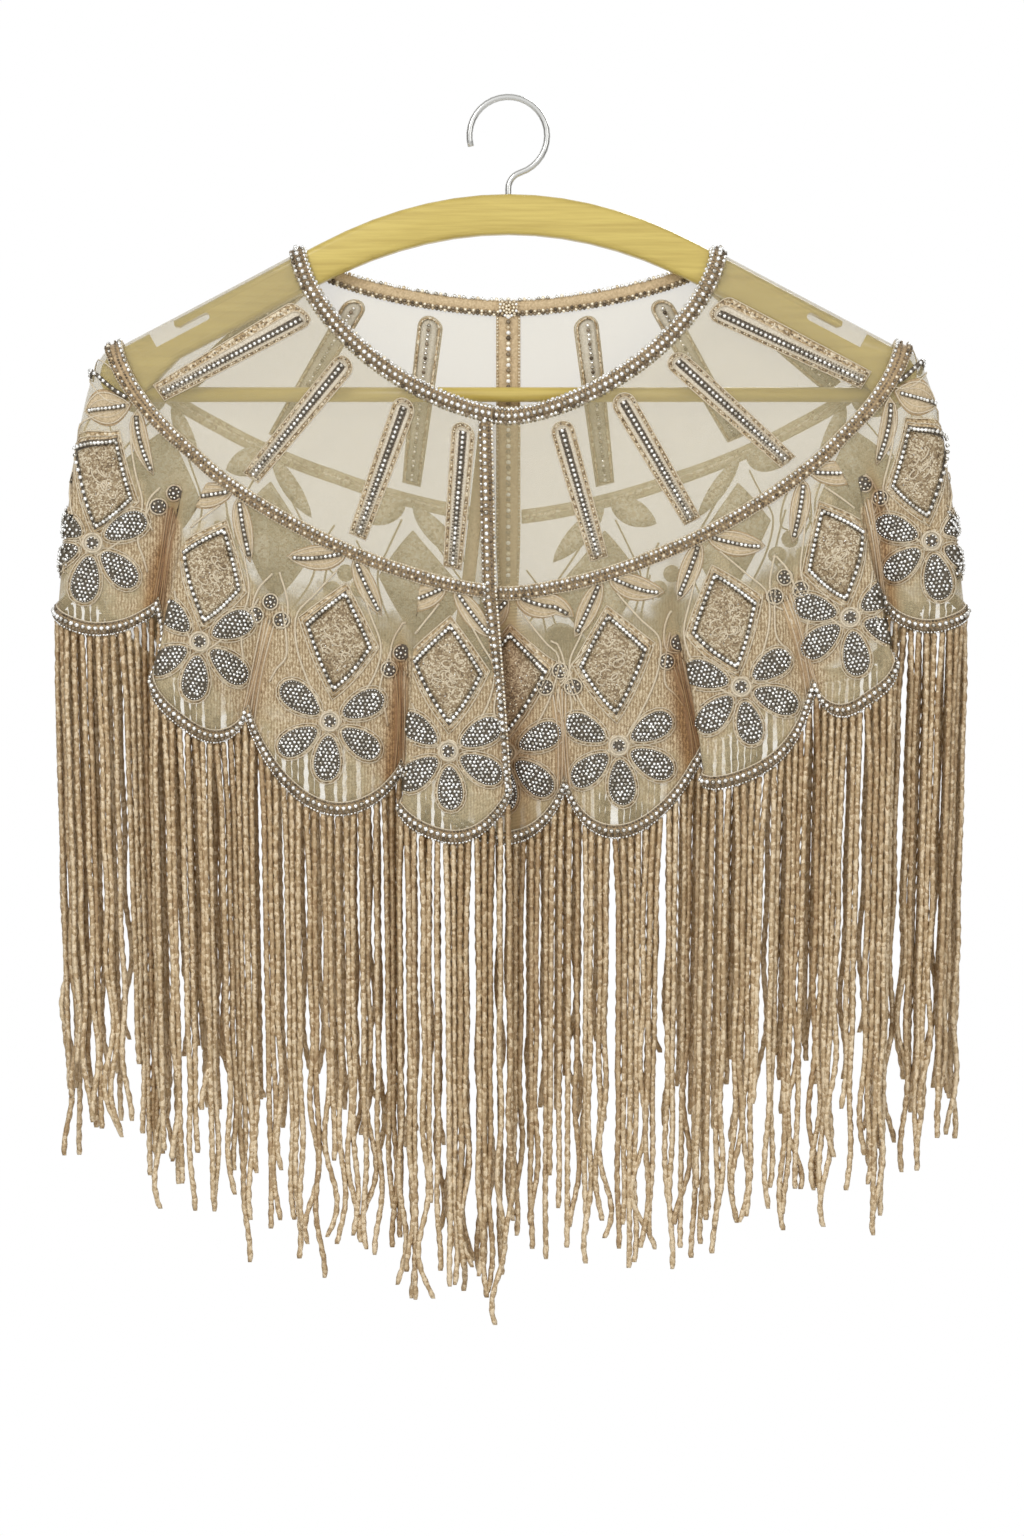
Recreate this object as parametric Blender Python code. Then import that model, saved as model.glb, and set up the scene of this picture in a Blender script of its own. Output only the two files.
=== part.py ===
"""A jewelled cape hanging on a wooden coat hanger, in metres, +Z up, front towards -Y.

The origin is the inner top of the hanger's hook, where a rail carries it.  The cape is a
ring of sheer net cut in two halves.  A bead-worked band binds the neck, the front edges
and the scalloped hem, one more lies over the shoulders as a yoke line, a strip closes the
centre back, a raised diamond is worked on every scallop, and a fringe hangs from the hem.
"""

import math
from collections import namedtuple

import bmesh
import bpy
from mathutils import Matrix, Vector

# ---- cloth: thicknesses, widths and clearances ------------------------------------------
NET_WALL = 0.0010           # sheer net
BAND_WALL = 0.0024          # bead-worked binding
FRINGE_WALL = 0.0024        # plain solid of the fringe's reach
DIAMOND_WALL = 0.0018       # raised diamond
SEAM = 0.0003               # gap between two sewn pieces
DIAMOND_LIFT = 0.0006       # a diamond's clearance over the coarse net facets
NECK_BAND = 0.0074
YOKE_BAND = 0.0069
HEM_BAND = 0.0066
EDGE_BAND = 0.0070
PLACKET = 0.0130
BUTTON_RADIUS = 0.0055
BUTTON_HEIGHT = 0.0036

# ---- cloth: the ring in the front view, half sizes and drops -----------------------------
NECK_HALF = 0.1120          # half the width of the neckline, at the shoulders
NECK_DROP_FRONT = 0.0885
NECK_DROP_BACK = 0.0290
NECK_POWER = 1.60           # superellipse power of the neckline
YOKE_HALF = 0.2065
YOKE_DROP_FRONT = 0.1320
YOKE_DROP_BACK = 0.0910
YOKE_POWER_FRONT = 1.55
YOKE_POWER_BACK = 1.42
SCALLOP_DROP = 0.0310       # a scallop's middle below the valleys beside it
SCALLOP_POWER = 0.80
SHOULDER_ARCH = 0.0060      # how far below the ridge the cloth reaches its full depth
SIDE_ARCH = 0.0160          # the same round the side at the hem
COLUMNS_PER_SCALLOP = 6
YOKE_SHARES = (0.00, 0.50)                             # rows of the net above the yoke line
SKIRT_SHARES = (0.00, 0.05, 0.14, 0.30, 0.52, 0.76, 1.00)  # and from it to the hem
FRINGE_STEEP_SHARE = 2.0    # how much lower the fringe starts where the hem is steep
NET_STEEP_SHARE = 1.6       # and how much higher the net ends there
EDGE_FADE = 1.5             # how far in from an edge the columns bend with it, in scallops
RIDGE_COLUMNS = (0.000, 0.012, 0.030, 0.070, 0.120)    # columns on each side of the shoulder ridge

# ---- hanger -------------------------------------------------------------------------------
ARM_SLOPE = 0.53
ARM_HALF = 0.2175           # from the middle to the arm's end
ARM_THICK = 0.0120
ARM_EDGE = 0.0035           # rounding of the plank's edges
ARM_HEIGHT = 0.0190         # across the arm
ARM_TOP_Z = -0.0845         # height of the arm's top edge at ARM_TOP_X
ARM_TOP_X = 0.1150
HUB_HALF = 0.1010           # where the straight arm turns into the curved hub
END_RADIUS = 0.0145
BAR_Z = -0.1570
BAR_RADIUS = 0.0040
BAR_HALF = 0.2065
BAR_HOLE = 0.0044
NOTCH_X = 0.1620            # where the strap notch's closed round end stands
NOTCH_LENGTH = 0.0330       # along the arm, from that end to its outer wall
NOTCH_LIP = 0.0200          # length of the slot under the arm's top edge
NOTCH_FLOOR = 0.0084        # the slot's floor below the top edge
NOTCH_WIDTH = 0.0042        # the slot's height
WIRE = 0.0017               # hook wire's radius
HOOK_RADIUS = 0.0190        # inside of the hook
HOOK_TURN = 0.0090          # the bend between stem and hook
HOOK_END = math.radians(196)
STEM_FOOT = 0.0120          # length of the stem inside the hub
CLOTH_OVER_ARM = 0.0021     # cloth's middle above the arm's top edge

# ---- tables: how the cape hangs ---------------------------------------------------------------
# "at" counts scallops from a front edge, round the side, to the centre back.  "out" is the
# distance from the middle of the cape, towards that half's own side.  "deep" is the distance
# of the cloth from the hanger's plane.
Ray = namedtuple("Ray", "at neck_out neck_deep yoke_out yoke_deep")
Hem = namedtuple("Hem", "at out deep level reach")
Half = namedtuple("Half", "name side ridge back_edge rays hems")

LEFT = Half("left", -1, 3.75, 7.0, rays=(
    Ray(0.00, 0.0085, 0.0150, 0.0064, 0.0175),
    Ray(0.50, 0.0228, 0.0145, 0.0302, 0.0172),
    Ray(1.50, 0.0509, 0.0115, 0.0827, 0.0142),
    Ray(2.50, 0.0800, 0.0092, 0.1420, 0.0112),
    Ray(3.50, 0.0986, 0.0086, 0.1924, 0.0088),
    Ray(3.75, 0.1120, 0.0086, 0.2065, 0.0088),
    Ray(4.50, 0.1020, 0.0086, 0.1800, 0.0090),
    Ray(5.50, 0.0760, 0.0090, 0.1280, 0.0105),
    Ray(6.50, 0.0410, 0.0100, 0.0530, 0.0120),
    Ray(7.00, 0.0000, 0.0102, 0.0000, 0.0122),
), hems=(
    Hem(0.00, -0.0016, 0.0260, -0.3660, -0.6380),
    Hem(0.50, 0.0323, 0.0280, -0.3610, -0.6380),
    Hem(0.80, 0.0560, 0.0260, -0.3570, -0.6280),      # fold edge, on top
    Hem(0.92, 0.0520, 0.0160, -0.3555, -0.6170),      # tucked under
    Hem(1.10, 0.0650, 0.0140, -0.3530, -0.6150),
    Hem(1.50, 0.0990, 0.0200, -0.3450, -0.6160),
    Hem(2.00, 0.1383, 0.0170, -0.3260, -0.5980),
    Hem(2.50, 0.1700, 0.0300, -0.3020, -0.5920),
    Hem(2.72, 0.1868, 0.0275, -0.2880, -0.5860),      # fold edge, on top
    Hem(2.92, 0.1820, 0.0145, -0.2750, -0.5680),      # tucked under
    Hem(3.12, 0.1960, 0.0120, -0.2610, -0.5640),
    Hem(3.50, 0.2270, 0.0160, -0.2500, -0.5610),
    Hem(3.75, 0.2395, 0.0160, -0.2470, -0.5530),
    Hem(4.05, 0.2220, 0.0170, -0.2540, -0.5400),
    Hem(4.50, 0.1870, 0.0250, -0.2700, -0.5240),
    Hem(4.80, 0.1650, 0.0240, -0.2820, -0.5280),      # pleat, its upper edge
    Hem(4.95, 0.1590, 0.0150, -0.2860, -0.5290),      # and its foot
    Hem(5.12, 0.1490, 0.0130, -0.2920, -0.5310),
    Hem(5.50, 0.1240, 0.0180, -0.3030, -0.5380),
    Hem(6.00, 0.0820, 0.0140, -0.3110, -0.5460),
    Hem(6.50, 0.0410, 0.0230, -0.3160, -0.5510),
    Hem(7.00, 0.0000, 0.0150, -0.3200, -0.5530),
))

RIGHT = Half("right", 1, 4.75, 8.0, rays=(
    Ray(0.00, -0.0148, 0.0100, -0.0249, 0.0115),
    Ray(0.50, 0.0040, 0.0102, 0.0016, 0.0120),
    Ray(1.50, 0.0249, 0.0112, 0.0504, 0.0132),
    Ray(2.50, 0.0545, 0.0108, 0.1018, 0.0130),
    Ray(3.50, 0.0806, 0.0092, 0.1548, 0.0108),
    Ray(4.50, 0.1002, 0.0086, 0.1972, 0.0088),
    Ray(4.75, 0.1120, 0.0086, 0.2065, 0.0088),
    Ray(5.50, 0.1020, 0.0086, 0.1800, 0.0090),
    Ray(6.50, 0.0760, 0.0090, 0.1260, 0.0105),
    Ray(7.50, 0.0410, 0.0100, 0.0530, 0.0120),
    Ray(8.00, 0.0000, 0.0102, 0.0000, 0.0122),
), hems=(
    Hem(0.00, -0.0387, 0.0140, -0.3660, -0.6300),
    Hem(0.50, -0.0026, 0.0155, -0.3620, -0.6280),
    Hem(1.00, 0.0297, 0.0130, -0.3640, -0.6090),
    Hem(1.50, 0.0620, 0.0180, -0.3580, -0.6270),
    Hem(1.95, 0.0970, 0.0140, -0.3490, -0.6130),
    Hem(2.04, 0.1060, 0.0160, -0.3468, -0.6100),      # tucked under
    Hem(2.18, 0.1044, 0.0262, -0.3428, -0.6060),      # fold edge, on top
    Hem(2.50, 0.1314, 0.0280, -0.3260, -0.5960),
    Hem(3.00, 0.1620, 0.0190, -0.3120, -0.5960),
    Hem(3.50, 0.1890, 0.0300, -0.2890, -0.5910),
    Hem(3.74, 0.2035, 0.0270, -0.2790, -0.5870),      # fold edge, on top
    Hem(3.92, 0.1960, 0.0150, -0.2690, -0.5620),      # tucked under
    Hem(4.12, 0.2040, 0.0120, -0.2580, -0.5590),
    Hem(4.50, 0.2300, 0.0160, -0.2490, -0.5600),
    Hem(4.75, 0.2425, 0.0160, -0.2470, -0.5530),
    Hem(5.05, 0.2245, 0.0170, -0.2540, -0.5380),
    Hem(5.50, 0.1900, 0.0240, -0.2700, -0.5230),
    Hem(6.00, 0.1500, 0.0140, -0.2930, -0.5330),
    Hem(6.50, 0.1120, 0.0230, -0.3060, -0.5400),
    Hem(6.78, 0.0930, 0.0230, -0.3090, -0.5440),      # pleat, its upper edge
    Hem(6.93, 0.0880, 0.0140, -0.3105, -0.5450),      # and its foot
    Hem(7.12, 0.0760, 0.0130, -0.3130, -0.5470),
    Hem(7.50, 0.0450, 0.0190, -0.3160, -0.5510),
    Hem(8.00, 0.0000, 0.0150, -0.3200, -0.5530),
))

for old in list(bpy.data.objects):
    bpy.data.objects.remove(old, do_unlink=True)


# ---- materials ---------------------------------------------------------------------------------
def finish(name, colour, roughness, metallic=0.0):
    """One Principled material."""
    material = bpy.data.materials.new(name)
    material.use_nodes = True
    shader = material.node_tree.nodes["Principled BSDF"]
    shader.inputs["Base Color"].default_value = (*colour, 1.0)
    shader.inputs["Roughness"].default_value = roughness
    shader.inputs["Metallic"].default_value = metallic
    return material


net_cloth = finish("sheer_net", (0.62, 0.52, 0.40), 0.85)
bead_band = finish("bead_band", (0.55, 0.50, 0.43), 0.35, 0.5)
champagne_work = finish("champagne_work", (0.48, 0.38, 0.25), 0.55, 0.2)
fringe_beads = finish("fringe_beads", (0.45, 0.31, 0.17), 0.45, 0.1)
hanger_wood = finish("hanger_wood", (0.62, 0.49, 0.16), 0.50)
hook_steel = finish("hook_steel", (0.60, 0.60, 0.58), 0.25, 1.0)


# ---- the cape's hanging form ---------------------------------------------------------------------
def smooth(rows, values, at):
    """Value at a place along a table, on one smooth curve through all its rows."""
    last = len(rows) - 1
    i = 0
    while i < last - 1 and at > rows[i + 1].at:
        i += 1

    def slope(k):
        low, high = max(k - 1, 0), min(k + 1, last)
        return (values[high] - values[low]) / (rows[high].at - rows[low].at)

    span = rows[i + 1].at - rows[i].at
    w = (at - rows[i].at) / span
    start, end = slope(i) * span, slope(i + 1) * span
    return (values[i] * (2 * w**3 - 3 * w**2 + 1) + start * (w**3 - 2 * w**2 + w)
            + values[i + 1] * (3 * w**2 - 2 * w**3) + end * (w**3 - w**2))


def turn_of(out, half_width, power):
    """Where a point lies on a superellipse: 0 at the shoulder, a quarter turn at the middle."""
    share = max(-1.0, min(1.0, out / half_width))
    return math.acos(math.copysign(abs(share) ** (power / 2), share))


def on_ring(turn, half_width, drop, power):
    """Distance out and height below the shoulder of a place on a superellipse."""
    across, down = math.cos(turn), abs(math.sin(turn))
    return (math.copysign(half_width * abs(across) ** (2 / power), across),
            -drop * down ** (2 / power))


def column(half, table, name):
    return [getattr(row, name) for row in getattr(half, table)]


def ridge_height(out):
    """Height of the cloth's middle where it passes over the hanger's arm."""
    return ARM_TOP_Z + CLOTH_OVER_ARM - ARM_SLOPE * (out - ARM_TOP_X)


def neck_and_yoke(half, at):
    """The two upper ends of a ray, each as out, height and depth."""
    back = at > half.ridge
    neck_drop = NECK_DROP_BACK if back else NECK_DROP_FRONT
    yoke_drop = YOKE_DROP_BACK if back else YOKE_DROP_FRONT
    yoke_power = YOKE_POWER_BACK if back else YOKE_POWER_FRONT
    rows = [row for row in half.rays if (row.at >= half.ridge if back else row.at <= half.ridge)]
    neck_turns = [turn_of(row.neck_out, NECK_HALF, NECK_POWER) for row in rows]
    yoke_turns = [turn_of(row.yoke_out, YOKE_HALF, yoke_power) for row in rows]
    neck_out, neck_down = on_ring(smooth(rows, neck_turns, at), NECK_HALF, neck_drop, NECK_POWER)
    yoke_out, yoke_down = on_ring(smooth(rows, yoke_turns, at), YOKE_HALF, yoke_drop, yoke_power)
    return (
        (neck_out, ridge_height(NECK_HALF) + neck_down, smooth(rows, [r.neck_deep for r in rows], at)),
        (yoke_out, ridge_height(YOKE_HALF) + yoke_down, smooth(rows, [r.yoke_deep for r in rows], at)),
    )


def hem_line(half, at):
    """The hem's scalloped edge as out, height and depth."""
    level = smooth(half.hems, column(half, "hems", "level"), at)
    part = at - math.floor(at)
    dip = SCALLOP_DROP * max(0.0, 4 * part * (1 - part)) ** SCALLOP_POWER
    return (smooth(half.hems, column(half, "hems", "out"), at), level - dip,
            smooth(half.hems, column(half, "hems", "deep"), at))


def hanging_place(half, at, down):
    """Out, height and depth for a ray; down is 0 at the neck, 1 at the yoke line, 2 at the hem."""
    neck, yoke = neck_and_yoke(half, at)
    if down <= 1.0:
        out, height, deep = (a + (b - a) * down for a, b in zip(neck, yoke))
        return out, height, deep
    hem = hem_line(half, at)
    w = down - 1.0
    ease = 0.90 - 0.53 * (yoke[0] / YOKE_HALF) ** 2
    return (yoke[0] + (hem[0] - yoke[0]) * w**ease, yoke[1] + (hem[1] - yoke[1]) * w,
            yoke[2] + (hem[2] - yoke[2]) * w**1.2)


def cloth_point(half, at, down):
    """A point of the cloth's middle surface."""
    out, height, deep = hanging_place(half, at, down)
    ridge_out, ridge_height_here, _ = hanging_place(half, half.ridge, down)
    arch = SHOULDER_ARCH + (SIDE_ARCH - SHOULDER_ARCH) * max(0.0, down - 1.0)
    away = min(1.0, math.hypot(out - ridge_out, height - ridge_height_here) / arch)
    rounded = math.sqrt(max(0.0, 1.0 - (1.0 - away) ** 2))
    face = 1 if at > half.ridge else -1
    return Vector((half.side * out, face * deep * rounded, height))


def cloth_frame(half, at, down):
    """A point of the cloth and the unit vector out of its right side."""
    step = 0.004
    low, high = max(0.0, at - step), min(half.back_edge, at + step)
    lower = min(2.0, down + step)
    along = cloth_point(half, high, down) - cloth_point(half, low, down)
    fall = cloth_point(half, at, lower) - cloth_point(half, at, lower - 2 * step)
    out = along.cross(fall) * -half.side
    return cloth_point(half, at, down), out.normalized()


def down_share(half, at, down, distance):
    """How much "down" changes over a distance measured on the cloth."""
    step = 0.01
    low, high = (down - step, down) if down > 1.5 else (down, down + step)
    return distance * step / (cloth_point(half, at, high) - cloth_point(half, at, low)).length


def at_share(half, edge, down, distance):
    """How much "at" changes over a level distance on the cloth, from a piece's edge inward."""
    inward = 1 if edge < half.ridge else -1
    start = cloth_point(half, edge, down).xy
    short, long = 0.0, 0.5
    for _ in range(30):
        middle = (short + long) / 2
        if (cloth_point(half, edge + inward * middle, down).xy - start).length < distance:
            short = middle
        else:
            long = middle
    return inward * long


# ---- solids from grids ------------------------------------------------------------------------------
def make_object(name, mesh, material):
    mesh.materials.append(material)
    made = bpy.data.objects.new(name, mesh)
    bpy.context.scene.collection.objects.link(made)
    return made


def wall(name, grid, thickness, lift, material):
    """A closed wall over a grid of (point, outward) pairs, its middle lifted off the points."""
    mesh = bpy.data.meshes.new(name)
    shape = bmesh.new()
    outer, inner = [], []
    for row in grid:
        outer.append([shape.verts.new(p + n * (lift + thickness / 2)) for p, n in row])
        inner.append([shape.verts.new(p + n * (lift - thickness / 2)) for p, n in row])
    rows, cols = len(grid), len(grid[0])
    for r in range(rows - 1):
        for c in range(cols - 1):
            shape.faces.new((outer[r][c], outer[r + 1][c], outer[r + 1][c + 1], outer[r][c + 1]))
            shape.faces.new((inner[r][c], inner[r][c + 1], inner[r + 1][c + 1], inner[r + 1][c]))
    rim = ([(0, c) for c in range(cols)] + [(r, cols - 1) for r in range(1, rows)]
           + [(rows - 1, c) for c in range(cols - 2, -1, -1)] + [(r, 0) for r in range(rows - 2, 0, -1)])
    for (r, c), (rn, cn) in zip(rim, rim[1:] + rim[:1]):
        shape.faces.new((outer[r][c], outer[rn][cn], inner[rn][cn], inner[r][c]))
    bmesh.ops.triangulate(shape, faces=shape.faces)
    bmesh.ops.recalc_face_normals(shape, faces=shape.faces)
    if shape.calc_volume(signed=True) < 0:
        bmesh.ops.reverse_faces(shape, faces=shape.faces)
    shape.to_mesh(mesh)
    shape.free()
    return make_object(name, mesh, material)


def places(half, start, end):
    """The columns between two places: the ridge, seams, hem table's rows, even steps and both ends."""
    ridge = [half.ridge + side * share for side in (-1, 1) for share in RIDGE_COLUMNS]
    seams = [at_share(half, 0.0, 1.98, EDGE_BAND),
             half.back_edge + at_share(half, half.back_edge, 1.98, PLACKET / 2)]
    valleys = [float(k) for k in range(int(half.back_edge) + 1)]
    folds = [row.at for row in half.hems]
    steps = [k / COLUMNS_PER_SCALLOP for k in range(int(half.back_edge * COLUMNS_PER_SCALLOP) + 1)]
    chosen = [start, end]
    for group, close in ((ridge, 0.008), (seams, 0.02), (valleys, 0.02), (folds, 0.045), (steps, 0.055)):
        for place in group:
            if start < place < end and min(abs(place - other) for other in chosen) > close:
                chosen.append(place)
    return sorted(chosen)


def cloth_grid(half, start, end, top, bottom, rows):
    """A grid of the cloth.  Start and end are places or rules for each height, top and bottom rules
    for each place, and rows are shares from top to bottom."""
    def first(down):
        return start(down) if callable(start) else start

    def last(down):
        return end(down) if callable(end) else end

    low, high = first(1.9), last(1.9)
    grid = []
    for row in rows:
        line = []
        for place in places(half, low, high):
            near_start = max(0.0, 1.0 - (place - low) / EDGE_FADE)
            near_end = max(0.0, 1.0 - (high - place) / EDGE_FADE) if high - low > EDGE_FADE else 1.0 - near_start
            at = place
            for _ in range(2):
                down = top(at) + (bottom(at) - top(at)) * row
                at = place + (first(down) - low) * near_start + (last(down) - high) * near_end
            line.append(cloth_frame(half, at, down))
        grid.append(line)
    return grid


def even(count):
    return [k / count for k in range(count + 1)]


# ---- the net ------------------------------------------------------------------------------------------
def band_foot(half, at):
    """Where the net starts below the neck band."""
    return down_share(half, at, 0.0, NECK_BAND / 2 + SEAM)


def hem_steepness(half, at):
    """Rise of the hem over its level run."""
    step = 0.02
    run = cloth_point(half, min(at + step, half.back_edge), 2.0) - cloth_point(half, max(at - step, 0.0), 2.0)
    return abs(run.z) / run.xy.length


def hem_head(half, at):
    """Where the net ends above the hem band: higher where the hem is steep."""
    steep = BAND_WALL / 2 * NET_STEEP_SHARE * hem_steepness(half, at)
    return 2.0 - down_share(half, at, 2.0, HEM_BAND / 2 + SEAM + steep)


def front_edge(half, distance):
    """The place at a distance from the front edge, at any height."""
    return lambda down: at_share(half, 0.0, min(max(down, 0.0), 1.98), distance)


def back_edge(half, distance):
    """The place at a distance from the centre back, at any height."""
    def rule(down):
        return half.back_edge + at_share(half, half.back_edge, min(max(down, 0.0), 1.98), distance)
    return rule


def net_rows(half, at):
    """Shares down the net whose middle row is the yoke line."""
    top, bottom = band_foot(half, at), hem_head(half, at)
    yoke = (1.0 - top) / (bottom - top)
    return [yoke * share for share in YOKE_SHARES] + [yoke + (1 - yoke) * share for share in SKIRT_SHARES]


def make_net(half):
    """Half of the ring, from the front edge over the shoulder to the centre back."""
    start, end = front_edge(half, EDGE_BAND + SEAM), back_edge(half, PLACKET / 2 + SEAM)
    grid = cloth_grid(half, start, end, lambda at: band_foot(half, at), lambda at: hem_head(half, at),
                      net_rows(half, half.ridge))
    wall(f"net_{half.name}", grid, NET_WALL, 0.0, net_cloth)


# ---- the bands -------------------------------------------------------------------------------------------
def make_bands(half):
    centre_back = back_edge(half, SEAM / 2)

    def neck_half(at):
        return down_share(half, at, 0.0, NECK_BAND / 2)

    def yoke_half(at):
        return down_share(half, at, 1.0, YOKE_BAND / 2)

    grid = cloth_grid(half, 0.0, centre_back, lambda at: -neck_half(at), neck_half, even(1))
    wall(f"neck_band_{half.name}", grid, BAND_WALL, 0.0, bead_band)

    yoke_start = front_edge(half, EDGE_BAND + 3 * SEAM)
    yoke_end = back_edge(half, PLACKET / 2 + 3 * SEAM)
    grid = cloth_grid(half, yoke_start, yoke_end, lambda at: 1.0 - yoke_half(at), lambda at: 1.0 + yoke_half(at),
                      even(1))
    lift = NET_WALL / 2 + SEAM + BAND_WALL / 2
    wall(f"yoke_band_{half.name}", grid, BAND_WALL, lift, bead_band)

    def hem_top(at):
        return 2.0 - down_share(half, at, 2.0, HEM_BAND / 2)

    def hem_foot(at):
        return 2.0 + down_share(half, at, 2.0, HEM_BAND / 2)

    grid = cloth_grid(half, 0.0, centre_back, hem_top, hem_foot, even(1))
    wall(f"hem_band_{half.name}", grid, BAND_WALL, 0.0, bead_band)

    rows = net_rows(half, 0.0)
    grid = cloth_grid(half, 0.0, front_edge(half, EDGE_BAND), lambda at: band_foot(half, 0.0),
                      lambda at: hem_head(half, 0.0), rows)
    wall(f"edge_band_{half.name}", grid, BAND_WALL, 0.0, bead_band)


def make_placket():
    """The centre-back strip, and the round button at its top."""
    top, bottom = band_foot(LEFT, LEFT.back_edge), hem_head(LEFT, LEFT.back_edge)
    grid = []
    for row in net_rows(LEFT, LEFT.back_edge):
        down = top + (bottom - top) * row
        line = []
        for half, share in ((RIGHT, 1.0), (LEFT, 0.0), (LEFT, 1.0)):
            at = half.back_edge + at_share(half, half.back_edge, min(down, 1.98), PLACKET / 2) * share
            line.append(cloth_frame(half, at, down))
        grid.append(line)
    wall("centre_back_placket", grid, BAND_WALL, 0.0, champagne_work)

    seat, out = cloth_frame(LEFT, LEFT.back_edge, 0.0)
    mesh = bpy.data.meshes.new("back_button")
    shape = bmesh.new()
    bmesh.ops.create_cone(shape, cap_ends=True, segments=20, radius1=BUTTON_RADIUS, radius2=BUTTON_RADIUS * 0.72,
                          depth=BUTTON_HEIGHT)
    turn = out.to_track_quat("Z", "Y").to_matrix().to_4x4()
    lift = BAND_WALL / 2 + SEAM + BUTTON_HEIGHT / 2
    bmesh.ops.transform(shape, matrix=Matrix.Translation(seat + out * lift) @ turn, verts=shape.verts)
    bmesh.ops.triangulate(shape, faces=shape.faces)
    shape.to_mesh(mesh)
    shape.free()
    make_object("back_button", mesh, bead_band)


# ---- diamonds and fringe -------------------------------------------------------------------------------------
DIAMOND_TOP = 0.0225        # below the yoke line, along the cloth
DIAMOND_LENGTH = 0.0515
DIAMOND_WIDTH = 0.0360
DIAMOND_TIP = 0.04          # height left at a side corner, as a share
DIAMOND_SHARE = 0.245       # most of a scallop that half a diamond may take
FRINGE_GATHER = 0.966       # width of the fringe at its tips, as a share of its width at the hem


def make_diamonds(half):
    """A raised diamond on every scallop's middle, corner up, on the net's own columns."""
    lift = NET_WALL / 2 + DIAMOND_LIFT + DIAMOND_WALL / 2
    for number in range(int(half.back_edge)):
        middle = number + 0.5
        centre = 1.0 + down_share(half, middle, 1.3, DIAMOND_TOP + DIAMOND_LENGTH / 2)
        tall = down_share(half, middle, 1.3, DIAMOND_LENGTH)
        wide = level_share(half, middle, centre, DIAMOND_WIDTH / 2)
        columns = places(half, middle - wide, middle + wide)
        grid = []
        for row in (-1.0, -0.5, 0.0, 0.5, 1.0):
            line = []
            for at in columns:
                height = max(DIAMOND_TIP, 1.0 - abs(at - middle) / wide) * tall / 2
                line.append(cloth_frame(half, at, centre + row * height))
            grid.append(line)
        wall(f"diamond_{half.name}_{number + 1}", grid, DIAMOND_WALL, lift, champagne_work)


def level_share(half, at, down, distance):
    """How much "at" changes over a level distance to each side of a place."""
    step = 0.05
    level = (cloth_point(half, at + step, down) - cloth_point(half, at - step, down)).xy.length
    return min(distance * 2 * step / level, DIAMOND_SHARE)


def make_fringe(half):
    """The reach of the fringe below each scallop: a curtain that draws in a little towards its tips."""
    reaches = column(half, "hems", "reach")
    for number in range(int(half.back_edge)):
        upper, lower = [], []
        stretch = places(half, float(number), number + 1.0)
        for at in stretch:
            out = cloth_frame(half, at, 2.0)[1]
            out = Vector((out.x, out.y, 0.0)).normalized()
            along = out.cross(Vector((0.0, 0.0, -half.side)))
            foot = cloth_point(half, at, 2.0 + down_share(half, at, 2.0, HEM_BAND / 2))
            inward = (at == stretch[0]) - (at == stretch[-1])
            place = foot + along * inward * SEAM / 2
            head = foot.z - SEAM - BAND_WALL / 2 * (1.0 + FRINGE_STEEP_SHARE * hem_steepness(half, at))
            upper.append((Vector((place.x, place.y, head)), out))
            lower.append((Vector((place.x * FRINGE_GATHER, place.y, smooth(half.hems, reaches, at))), out))
        wall(f"fringe_{half.name}_{number + 1}", [upper, lower], FRINGE_WALL, 0.0, fringe_beads)


# ---- the hanger ------------------------------------------------------------------------------------------------
def arm_top(out):
    """Height of the hanger's top edge: a straight arm, and a curve over the hub."""
    if out >= HUB_HALF:
        return ARM_TOP_Z - ARM_SLOPE * (out - ARM_TOP_X)
    straight = ARM_TOP_Z - ARM_SLOPE * (HUB_HALF - ARM_TOP_X)
    return straight + ARM_SLOPE * (HUB_HALF**2 - out**2) / (2 * HUB_HALF)


def arm_outline():
    """One arm's outline, from the hub's top out, round the end and back under."""
    lean = math.atan(ARM_SLOPE)
    upright = ARM_HEIGHT / math.cos(lean)
    end = ARM_HALF - END_RADIUS
    end_height = arm_top(end) - END_RADIUS / math.cos(lean)
    hub_steps, arc_steps = 7, 9
    outs = [HUB_HALF * k / hub_steps for k in range(hub_steps + 1)]
    top = [(out, arm_top(out)) for out in outs]
    arc = []
    for k in range(arc_steps + 1):
        angle = math.pi / 2 - lean - k * math.radians(176) / arc_steps
        arc.append((end + END_RADIUS * math.cos(angle), end_height + END_RADIUS * math.sin(angle)))
    under = [(out, arm_top(out) - upright) for out in [end - 0.028] + outs[::-1]]
    return top + arc + under


def cylinder_cutter(name, radius, start, end):
    """A hidden cutting cylinder between two points."""
    mesh = bpy.data.meshes.new(name)
    shape = bmesh.new()
    along = end - start
    bmesh.ops.create_cone(shape, cap_ends=True, segments=20, radius1=radius, radius2=radius, depth=along.length)
    turn = along.to_track_quat("Z", "Y").to_matrix().to_4x4()
    bmesh.ops.transform(shape, matrix=Matrix.Translation((start + end) / 2) @ turn, verts=shape.verts)
    shape.to_mesh(mesh)
    shape.free()
    return hidden_cutter(name, mesh)


def hidden_cutter(name, mesh):
    cutter = bpy.data.objects.new(name, mesh)
    bpy.context.scene.collection.objects.link(cutter)
    cutter.hide_render = True
    cutter.display_type = "WIRE"
    return cutter


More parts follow.
